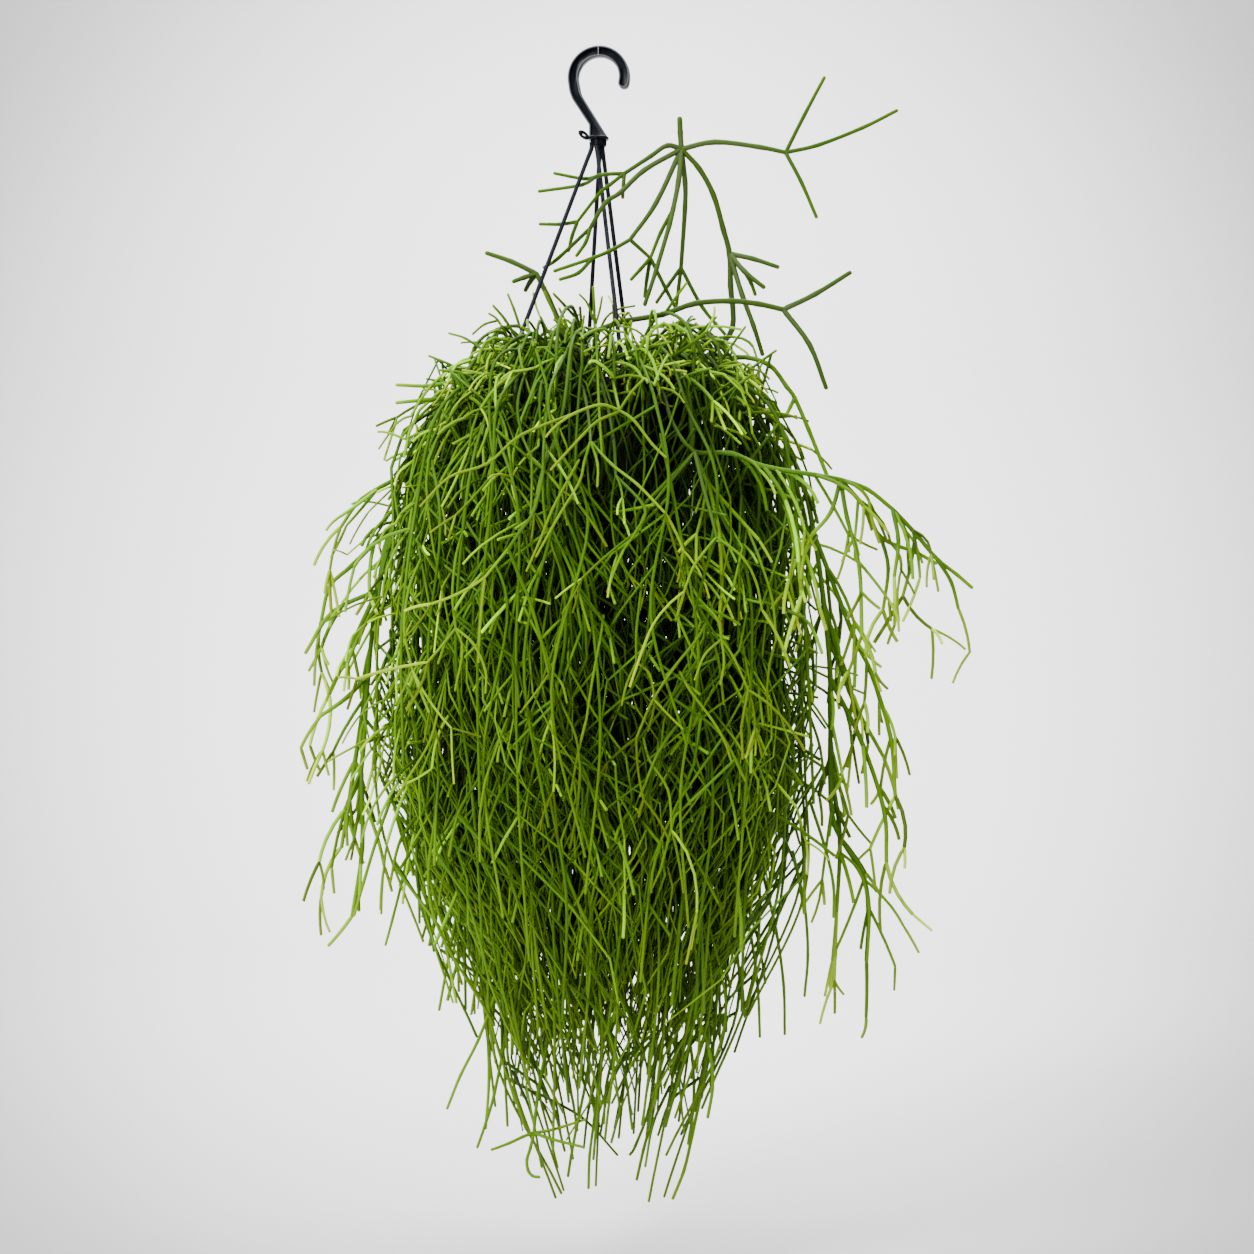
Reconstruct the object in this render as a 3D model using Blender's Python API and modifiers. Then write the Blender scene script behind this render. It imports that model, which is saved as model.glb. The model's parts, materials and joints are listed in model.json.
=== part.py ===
"""A mistletoe cactus in a hanging pot. Its thin round stems rise from the soil,
arch over the rim and trail far below the pot, forking in whorls as they go.

Metres, +Z up. The origin is where the hook bears on its rail, which is the
underside of its crown. The front of the plant faces -Y."""

import math

import bmesh
import bpy
import numpy as np
from mathutils import Matrix, Vector

MM = 0.001
GAP = 0.3 * MM  # clearance that touching pieces keep

# Hook: a moulded bar of I section, bent into a round crown over a slanting shank
HOOK_WIDTH = 9.4 * MM
HOOK_DEPTH = 9.5 * MM
HOOK_FLANGE = 1.6 * MM
HOOK_WEB = 3.2 * MM
HOOK_TURN = -8.0  # degrees about Z: the tip stands a little towards the front
CROWN_RADIUS = 23.3 * MM  # to the middle of the bar
CROWN_X = -0.9 * MM
CROWN_Z = HOOK_WIDTH / 2 - CROWN_RADIUS
TIP_ANGLE = -15.0
SHANK_ANGLE = 185.0
CROWN_STEPS = 12
SHANK_POINTS = ((-22.9, -29.5), (-18.4, -40.0), (-8.2, -56.6), (-2.6, -66.0), (-1.4, -72.8))
BOSS_OUTLINE = ((-9.2, -60.5), (-9.2, -73.0), (6.6, -73.0), (5.0, -68.5), (0.0, -60.5))
BOSS_DEPTH = 6.4 * MM
COLLAR_X = -1.4 * MM
COLLAR_RADIUS = 9.4 * MM
COLLAR_TOP = -72.3 * MM
COLLAR_HEIGHT = 2.6 * MM
SOCKET_RADIUS = 7.4 * MM
SOCKET_BOTTOM = -80.5 * MM
EYE_RADIUS = 4.2 * MM
EYE_WIRE = 0.95 * MM
EYE_PLACE = (-13.2, 0.0, -70.4)
EYE_TILT = (28.0, 22.0)  # degrees about X, then about Y

# Pot: a tapered shell with a turned-down rim that the strands hook under
RIM_TOP = -298.0 * MM
POT_HEIGHT = 150.0 * MM
POT_WALL = 2.0 * MM
POT_TOP_RADIUS = 92.5 * MM
POT_FOOT_RADIUS = 69.0 * MM
RIM_RADIUS = 100.5 * MM
RIM_DROP = 10.0 * MM
POT_SIDES = 28
DRAIN_COUNT = 6
DRAIN_RADIUS = 5.0 * MM
DRAIN_CIRCLE = 42.0 * MM
SOIL_DROP = 18.0 * MM
SOIL_TOP = RIM_TOP - SOIL_DROP
HOLE_DEPTH = 14.0 * MM
HOLE_SIDES = 4

# Strands: (name, degrees round the pot, top x, top y in mm)
STRANDS = (
    ("strand_left", 205.0, -6.2, -1.6),
    ("strand_front", 283.0, -1.4, -5.0),
    ("strand_back", 99.0, 1.2, 4.8),
    ("strand_right", 71.0, 3.6, 0.2),
)
STRAND_RADIUS = 1.5 * MM
STRAND_CIRCLE = 95.0 * MM
STRAND_SOCKET = 4.0 * MM
SLOT_SIZE = 4.8 * MM
TOGGLE_SIZE = (3.8 * MM, 8.0 * MM, 3.0 * MM)

# Outline of the whole plant: depth below the hook, reach to its left and to its right
OUTLINE = (
    (0.240, 0.100, 0.120),
    (0.300, 0.160, 0.165),
    (0.350, 0.182, 0.185),
    (0.410, 0.205, 0.200),
    (0.490, 0.222, 0.210),
    (0.580, 0.225, 0.215),
    (0.670, 0.218, 0.215),
    (0.710, 0.212, 0.210),
    (0.760, 0.196, 0.195),
    (0.800, 0.162, 0.172),
    (0.850, 0.130, 0.150),
    (0.900, 0.114, 0.122),
    (0.940, 0.102, 0.098),
    (0.985, 0.082, 0.080),
    (1.025, 0.040, 0.060),
)
OUTLINE_DEPTHS, OUTLINE_LEFT, OUTLINE_RIGHT = zip(*OUTLINE)
DEEPEST = OUTLINE_DEPTHS[-1]
FRONT_SHARE = 0.92  # the plant is a little shallower than it is wide

# Trailing stems: three rings of them, from the inner soil to the outer
TRAILING_SEED = 41
RINGS = (
    # count, soil radius, hanging radius, height of the arch, first azimuth in degrees
    (12, 0.034, 0.120, 0.052, 9.0),
    (14, 0.055, 0.165, 0.036, 22.0),
    (14, 0.076, 0.206, 0.022, 3.0),
)
FORKS = (
    # share of the main line where it leaves, turn in degrees, change of the hanging radius
    (0.25, -10.0, -0.030),
    (0.38, 9.0, 0.012),
)
ARCH_COURSE = ((0.2, 0.55), (0.55, 1.0), (1.0, 0.62))  # share of the way over the rim, of the arch
ARCH_SHOULDER = 28 * MM  # below the rim, where the arch becomes the hang
RIM_CLEARANCE = 14 * MM
TWIG_PLACES = ((0, 0.19), (1, 0.86), (0, 0.90), (2, 0.62), (0, 0.55))  # line of a stem, share of it
STEM_RADIUS = 2.6 * MM
TWIG_RADIUS = 2.1 * MM
TIP_RADIUS = 1.7 * MM
NECK_RADIUS = 1.2 * MM  # a joint is narrow where it leaves its parent
NODE_SPACING = 0.12
STEM_CLEARANCE = 0.7 * MM
ROOT_SPACING = 9.6 * MM
HANG_SHARE = 0.94  # of the outline, which the twigs then fill
SWAY = 6 * MM
TRIES = 40
ROUND_ANGLE = 40.0  # degrees between faces that are shaded as one round surface
STEM_ROUND_ANGLE = 130.0


def material(name, colour, roughness, metallic=0.0):
    made = bpy.data.materials.new(name)
    made.use_nodes = True
    shader = made.node_tree.nodes["Principled BSDF"]
    shader.inputs["Base Color"].default_value = (*colour, 1.0)
    shader.inputs["Roughness"].default_value = roughness
    shader.inputs["Metallic"].default_value = metallic
    return made


def clear_scene():
    for thing in list(bpy.data.objects):
        bpy.data.objects.remove(thing)


def link(thing, collection):
    collection.objects.link(thing)
    return thing


def finished(thing, collection, finish, round_angle=ROUND_ANGLE):
    """A piece of the object, with its material and its round faces shaded smooth."""
    collection.objects.link(thing)
    thing.data.materials.clear()
    thing.data.materials.append(finish)
    thing.data.shade_smooth()
    thing.data.set_sharp_from_angle(angle=math.radians(round_angle))


def as_meshes(things):
    """Curves turned into closed meshes in world space, with their caps welded on."""
    bpy.context.view_layer.update()
    graph = bpy.context.evaluated_depsgraph_get()
    made = []
    for thing in things:
        mesh = bpy.data.meshes.new_from_object(thing.evaluated_get(graph))
        mesh.transform(thing.matrix_world)
        shape = bmesh.new()
        shape.from_mesh(mesh)
        bmesh.ops.remove_doubles(shape, verts=shape.verts, dist=1e-6)
        bmesh.ops.recalc_face_normals(shape, faces=shape.faces)
        shape.to_mesh(mesh)
        shape.free()
        made.append(bpy.data.objects.new(thing.name + "_mesh", mesh))
    for thing in things:
        bpy.data.objects.remove(thing)
    return made


def is_closed(mesh):
    shape = bmesh.new()
    shape.from_mesh(mesh)
    whole = len(shape.faces) > 0 and all(len(edge.link_faces) == 2 for edge in shape.edges)
    shape.free()
    return whole


def combined(name, base, others, operation):
    """base joined with, or cut by, all the others, applied; the others are removed."""
    scene = bpy.context.scene.collection
    group = bpy.data.collections.new(name + "_tools")
    scene.children.link(group)
    scene.objects.link(base)
    for other in others:
        group.objects.link(other)
    step = base.modifiers.new(operation.lower(), "BOOLEAN")
    step.operation = operation
    step.operand_type = "COLLECTION"
    step.collection = group
    for solver in ("EXACT", "MANIFOLD"):
        step.solver = solver
        bpy.context.view_layer.update()
        graph = bpy.context.evaluated_depsgraph_get()
        mesh = bpy.data.meshes.new_from_object(base.evaluated_get(graph))
        if is_closed(mesh):
            break
    mesh.name = name
    for other in others:
        bpy.data.objects.remove(other)
    bpy.data.objects.remove(base)
    bpy.data.collections.remove(group)
    return bpy.data.objects.new(name, mesh)


def box(name, size, place, degrees):
    """A box whose first side points away from the pot's axis."""
    shape = bmesh.new()
    bmesh.ops.create_cube(shape, size=1.0)
    mesh = bpy.data.meshes.new(name)
    shape.to_mesh(mesh)
    shape.free()
    placed = Matrix.Translation(place) @ Matrix.Rotation(math.radians(degrees), 4, "Z")
    mesh.transform(placed @ Matrix.Diagonal((*size, 1.0)))
    return bpy.data.objects.new(name, mesh)


def cylinder(name, radius, bottom, top, x=0.0, y=0.0, sides=16):
    shape = bmesh.new()
    bmesh.ops.create_cone(
        shape, cap_ends=True, segments=sides, radius1=radius, radius2=radius, depth=top - bottom
    )
    mesh = bpy.data.meshes.new(name)
    shape.to_mesh(mesh)
    shape.free()
    mesh.transform(Matrix.Translation((x, y, (bottom + top) / 2)))
    return bpy.data.objects.new(name, mesh)


def section(name, points):
    """A closed outline that a curve carries along itself."""
    outline = bpy.data.curves.new(name, "CURVE")
    outline.dimensions = "2D"
    line = outline.splines.new("POLY")
    line.points.add(len(points) - 1)
    line.use_cyclic_u = True
    for point, (u, v) in zip(line.points, points):
        point.co = (u, v, 0.0, 1.0)
    thing = bpy.data.objects.new(name, outline)
    thing.hide_render = True
    thing.display_type = "WIRE"
    return thing


def swept(name, points, radii, outline):
    """An open curve that carries an outline; a point's radius scales the outline there."""
    path = bpy.data.curves.new(name, "CURVE")
    path.dimensions = "3D"
    path.bevel_mode = "OBJECT"
    path.bevel_object = outline
    path.use_fill_caps = True
    line = path.splines.new("POLY")
    line.points.add(len(points) - 1)
    for point, place, radius in zip(line.points, points, radii):
        point.co = (*place, 1.0)
        point.radius = radius
    return bpy.data.objects.new(name, path)


def upright(name, points, closed):
    """A flat curve that stands in the plane of the hook, given by X and Z."""
    flat = bpy.data.curves.new(name, "CURVE")
    flat.dimensions = "2D"
    flat.fill_mode = "BOTH" if closed else "NONE"
    line = flat.splines.new("POLY")
    line.use_cyclic_u = closed
    line.points.add(len(points) - 1)
    for point, (x, z) in zip(line.points, points):
        point.co = (x, z, 0.0, 1.0)
    thing = bpy.data.objects.new(name, flat)
    thing.rotation_euler.x = math.pi / 2
    return thing


def hook_path():
    """X and Z of the bar's middle, from the tip over the crown and down the shank."""
    angles = np.radians(np.linspace(TIP_ANGLE, SHANK_ANGLE, CROWN_STEPS))
    crown_x = CROWN_X + CROWN_RADIUS * np.cos(angles)
    crown_z = CROWN_Z + CROWN_RADIUS * np.sin(angles)
    return [*zip(crown_x, crown_z), *((x * MM, z * MM) for x, z in SHANK_POINTS)]


def hook_bar(parts, guides):
    """The I section carried along the bent bar, its channels open to the front and back."""
    half_width, half_depth = HOOK_WIDTH / 2, HOOK_DEPTH / 2
    inner, web = half_width - HOOK_FLANGE, HOOK_WEB / 2
    quarter = [(half_width, half_depth), (inner, half_depth), (inner, web)]
    top = quarter + [(-u, v) for u, v in reversed(quarter)]
    bar = link(upright("bar", hook_path(), closed=False), parts)
    bar.data.bevel_mode = "OBJECT"
    bar.data.bevel_object = link(section("hook_section", top + [(-u, -v) for u, v in top]), guides)
    bar.data.use_fill_caps = True
    return bar


def hook_eye():
    """The small ring beside the collar that a label would hang from."""
    bpy.ops.mesh.primitive_torus_add(
        major_radius=EYE_RADIUS, minor_radius=EYE_WIRE, major_segments=12, minor_segments=4
    )
    eye = bpy.context.object
    eye.users_collection[0].objects.unlink(eye)
    about_x, about_y = (math.radians(angle) for angle in EYE_TILT)
    turn = Matrix.Rotation(about_y, 4, "Y") @ Matrix.Rotation(about_x, 4, "X")
    eye.data.transform(Matrix.Translation(Vector(EYE_PLACE) * MM) @ turn)
    return eye


def build_hook(parts, guides, finish):
    bar = hook_bar(parts, guides)
    boss = link(upright("boss", [(x * MM, z * MM) for x, z in BOSS_OUTLINE], closed=True), parts)
    boss.data.extrude = BOSS_DEPTH / 2
    bar_mesh, boss_mesh = as_meshes([bar, boss])
    tip = cylinder("tip", HOOK_WIDTH / 2, -HOOK_DEPTH / 2, HOOK_DEPTH / 2, sides=14)
    tip_x, tip_z = hook_path()[0]
    tip.data.transform(Matrix.Translation((tip_x, 0.0, tip_z)) @ Matrix.Rotation(math.pi / 2, 4, "X"))
    collar = cylinder("collar", COLLAR_RADIUS, COLLAR_TOP - COLLAR_HEIGHT, COLLAR_TOP, COLLAR_X)
    socket = cylinder("socket", SOCKET_RADIUS, SOCKET_BOTTOM, COLLAR_TOP - 0.5 * MM, COLLAR_X)
    whole = combined("hook", bar_mesh, [boss_mesh, tip, collar, socket, hook_eye()], "UNION")
    whole.data.transform(Matrix.Rotation(math.radians(HOOK_TURN), 4, "Z"))
    holes = [
        cylinder(
            f"seat_{name}",
            STRAND_RADIUS + GAP,
            SOCKET_BOTTOM - MM,
            SOCKET_BOTTOM + STRAND_SOCKET,
            COLLAR_X + x * MM,
            y * MM,
            sides=8,
        )
        for name, _, x, y in STRANDS
    ]
    finished(combined("hook", whole, holes, "DIFFERENCE"), parts, finish)


def round_place(degrees, radius, z=0.0):
    angle = math.radians(degrees)
    return Vector((radius * math.cos(angle), radius * math.sin(angle), z))


def turned(name, profile, sides):
    """A profile in X and Z turned about Z, as a plain mesh."""
    mesh = bpy.data.meshes.new(name)
    points = [(x, 0.0, z) for x, z in profile]
    mesh.from_pydata(points, [(i, i + 1) for i in range(len(points) - 1)], [])
    thing = bpy.data.objects.new(name, mesh)
    bpy.context.scene.collection.objects.link(thing)
    screw = thing.modifiers.new("turn", "SCREW")
    screw.steps = sides
    screw.render_steps = sides
    screw.use_merge_vertices = True
    screw.merge_threshold = 1e-5
    return as_meshes([thing])[0]


def wall_radius(z, outside=True):
    share = (RIM_TOP - z) / POT_HEIGHT
    radius = POT_TOP_RADIUS + (POT_FOOT_RADIUS - POT_TOP_RADIUS) * share
    return radius if outside else radius - POT_WALL


def build_pot(parts, finish):
    foot = RIM_TOP - POT_HEIGHT
    floor = foot + POT_WALL
    under = RIM_TOP - POT_WALL
    profile = [
        (0.0, floor),
        (wall_radius(floor, False), floor),
        (wall_radius(RIM_TOP, False), RIM_TOP),
        (RIM_RADIUS, RIM_TOP),
        (RIM_RADIUS, RIM_TOP - RIM_DROP),
        (RIM_RADIUS - POT_WALL, RIM_TOP - RIM_DROP),
        (RIM_RADIUS - POT_WALL, under),
        (wall_radius(under), under),
        (wall_radius(foot), foot),
        (0.0, foot),
    ]
    shell = turned("pot", profile, POT_SIDES)
    cuts = []
    for name, degrees, _, _ in STRANDS:
        place = round_place(degrees, STRAND_CIRCLE, RIM_TOP - POT_WALL / 2)
        size = (SLOT_SIZE, SLOT_SIZE, 3 * POT_WALL)
        cuts.append(box(f"slot_{name}", size, place, degrees))
    for i in range(DRAIN_COUNT):
        place = round_place(360.0 * i / DRAIN_COUNT, DRAIN_CIRCLE)
        cuts.append(cylinder(f"drain_{i}", DRAIN_RADIUS, foot - MM, floor + MM, place.x, place.y, sides=8))
    finished(combined("pot", shell, cuts, "DIFFERENCE"), parts, finish)


def build_soil(parts, finish, roots):
    bottom = RIM_TOP - POT_HEIGHT + POT_WALL + GAP
    profile = [
        (0.0, SOIL_TOP),
        (wall_radius(SOIL_TOP, False) - 2 * GAP, SOIL_TOP),
        (wall_radius(bottom, False) - 2 * GAP, bottom),
        (0.0, bottom),
    ]
    filling = turned("soil", profile, POT_SIDES)
    hole = (STEM_RADIUS + GAP) / math.cos(math.pi / HOLE_SIDES)
    holes = [
        cylinder(f"hole_{i}", hole, SOIL_TOP - HOLE_DEPTH, SOIL_TOP + MM, x, y, sides=HOLE_SIDES)
        for i, (x, y) in enumerate(roots)
    ]
    finished(combined("soil", filling, holes, "DIFFERENCE"), parts, finish)


def strand_line(degrees, x, y):
    """A strand's middle: its end in the hook, where it leaves the hook, and its slot in the rim."""
    top = Vector((COLLAR_X + x * MM, y * MM, SOCKET_BOTTOM + STRAND_SOCKET - GAP))
    seat = round_place(degrees, STRAND_CIRCLE, RIM_TOP - POT_WALL / 2)
    return top, Vector((top.x, top.y, SOCKET_BOTTOM - 2 * MM)), seat


def build_strands(parts, guides, finish):
    circle = [(math.cos(a), math.sin(a)) for a in np.arange(6) * math.pi / 3]
    outline = link(section("strand_section", circle), guides)
    for name, degrees, x, y in STRANDS:
        top, mouth, seat = strand_line(degrees, x, y)
        heading = (seat - mouth).normalized()
        points = [top, mouth, seat, seat + heading * 2.0 * MM]
        cord = link(swept(name, points, [STRAND_RADIUS] * len(points), outline), parts)
        cord_mesh = as_meshes([cord])[0]
        low = RIM_TOP - POT_WALL - GAP - TOGGLE_SIZE[2] / 2
        middle = round_place(degrees, STRAND_CIRCLE, low)
        toggle = box(f"{name}_toggle", TOGGLE_SIZE, middle, degrees)
        finished(combined(name, cord_mesh, [toggle], "UNION"), parts, finish, STEM_ROUND_ANGLE)


def reach(z, azimuth):
    """How far the plant spreads from the hook's axis at a height, in one direction."""
    sides = (OUTLINE_LEFT, OUTLINE_RIGHT)
    left, right = (float(np.interp(-z, OUTLINE_DEPTHS, side)) for side in sides)
    across = right if math.cos(azimuth) > 0 else left
    deep = FRONT_SHARE * (left + right) / 2
    return 1.0 / math.hypot(math.cos(azimuth) / across, math.sin(azimuth) / deep)


class Room:
    """What has been placed so far, as straight spans with a radius and an owner."""

    def __init__(self):
        self.starts = np.zeros((0, 3))
        self.ends = np.zeros((0, 3))
        self.radii = np.zeros(0)
        self.owners = np.zeros(0, int)

    def add(self, points, radii, owner):
        points = np.asarray(points, float)
        spans = len(points) - 1
        self.starts = np.vstack([self.starts, points[:-1]])
        self.ends = np.vstack([self.ends, points[1:]])
        self.radii = np.append(self.radii, np.maximum(radii[:-1], radii[1:]))
        self.owners = np.append(self.owners, np.full(spans, owner))

    def is_free(self, points, radii, owner):
        """Whether a line of spans stays clear of every other owner's spans."""
        points, radii = np.asarray(points, float), np.asarray(radii, float)
        other = self.owners != owner
        a, b = points[:-1, None], points[1:, None]
        c, d = self.starts[None, other], self.ends[None, other]
        first, second, apart = b - a, d - c, a - c
        aa = (first**2).sum(-1)
        ee = (second**2).sum(-1)
        ff = (second * apart).sum(-1)
        cc = (first * apart).sum(-1)
        bb = (first * second).sum(-1)
        across = np.maximum(aa * ee - bb * bb, 1e-18)
        s = np.clip((bb * ff - cc * ee) / across, 0.0, 1.0)
        t = np.clip((bb * s + ff) / ee, 0.0, 1.0)
        s = np.clip((bb * t - cc) / aa, 0.0, 1.0)
        nearest = np.linalg.norm(apart + s[..., None] * first - t[..., None] * second, axis=-1)
        need = np.maximum(radii[:-1], radii[1:])[:, None] + self.radii[other][None] + STEM_CLEARANCE
        return bool((nearest > need).all())


def outside_pot(points, margin):
    """Whether every point keeps a margin to the pot, above it or around it."""
    around = np.hypot(points[:, 0], points[:, 1]) > RIM_RADIUS + margin
    above = points[:, 2] > RIM_TOP + margin
    below = points[:, 2] < RIM_TOP - POT_HEIGHT - margin
    return bool((around | above | below).all())


def drooping(start, heading, length, droop, spans):
    """A twig that leaves along heading and turns down under its own weight."""
    t = np.linspace(0.0, 1.0, spans + 1)[:, None]
    down = np.array((0.0, 0.0, -1.0))
    return start + length * (t * heading + 0.5 * droop * t**2 * (down - heading))


def hanging(azimuth, hang, top, depth, chance):
    """Points down a trailing stretch, which sways a little inside the outline."""
    phase, swing = chance.uniform(0.0, 2 * math.pi), chance.uniform(0.4, 1.0)
    points = []
    for z in np.linspace(top, -depth, max(2, round((depth + top) / NODE_SPACING)) + 1):
        beside_pot = z > RIM_TOP - POT_HEIGHT - 20 * MM
        radius = max(hang, RIM_RADIUS + RIM_CLEARANCE) if beside_pot else hang
        radius = min(radius, HANG_SHARE * reach(z, azimuth))
        radius += swing * SWAY * math.sin(1.7 * phase + 31.0 * z)
        turn = azimuth + swing * 0.09 * math.sin(phase + 26.0 * z)
        points.append((radius * math.cos(turn), radius * math.sin(turn), z))
    return points


def hanging_depth(azimuth, hang, chance):
    """How low a stem trails: to where the outline closes in on it, or a little past."""
    depth = 0.6
    while depth < DEEPEST and 0.97 * reach(-depth, azimuth) > hang:
        depth += 0.01
    return min(depth + chance.uniform(-0.03, 0.09), DEEPEST)


def trailing_axis(azimuth, root, hang, arch, chance):
    """The middle line of one trailing stem, from its hole in the soil to its tip."""
    beyond = RIM_RADIUS + RIM_CLEARANCE
    over = [(root + share * (beyond - root), RIM_TOP + rise * arch) for share, rise in ARCH_COURSE]
    stations = [
        (root, SOIL_TOP - HOLE_DEPTH + GAP),
        (root, SOIL_TOP + 3 * MM),
        *over,
        ((hang + beyond) / 2, RIM_TOP - ARCH_SHOULDER),
    ]
    points = [(r * math.cos(azimuth), r * math.sin(azimuth), z) for r, z in stations]
    depth = hanging_depth(azimuth, hang, chance)
    return np.array(points + hanging(azimuth, hang, RIM_TOP - 0.1, depth, chance))


def fork_line(main, share, turn, change, chance):
    """A second trailing line that leaves a stem beside the pot and hangs next to it."""
    start, _ = along(main, share)
    azimuth = math.atan2(start[1], start[0]) + turn
    hang = max(math.hypot(start[0], start[1]) + change, 0.05)
    depth = hanging_depth(azimuth, hang, chance)
    return np.array([tuple(start)] + hanging(azimuth, hang, start[2] - 0.07, depth, chance))


def along(points, share):
    """The place and heading at a share of a line's length."""
    lengths = np.linalg.norm(np.diff(points, axis=0), axis=1)
    ends = np.append(0.0, np.cumsum(lengths))
    at = share * ends[-1]
    i = min(int(np.searchsorted(ends, at, side="right")) - 1, len(lengths) - 1)
    heading = (points[i + 1] - points[i]) / lengths[i]
    return points[i] + heading * (at - ends[i]), heading


def spread(heading, angle, turn):
    """The heading tilted by an angle, towards a side given by a turn about it."""
    side = np.cross(heading, (0.31, 0.17, 0.93))
    side /= np.linalg.norm(side)
    other = np.cross(heading, side)
    across = side * math.cos(turn) + other * math.sin(turn)
    return heading * math.cos(angle) + across * math.sin(angle)


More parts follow.
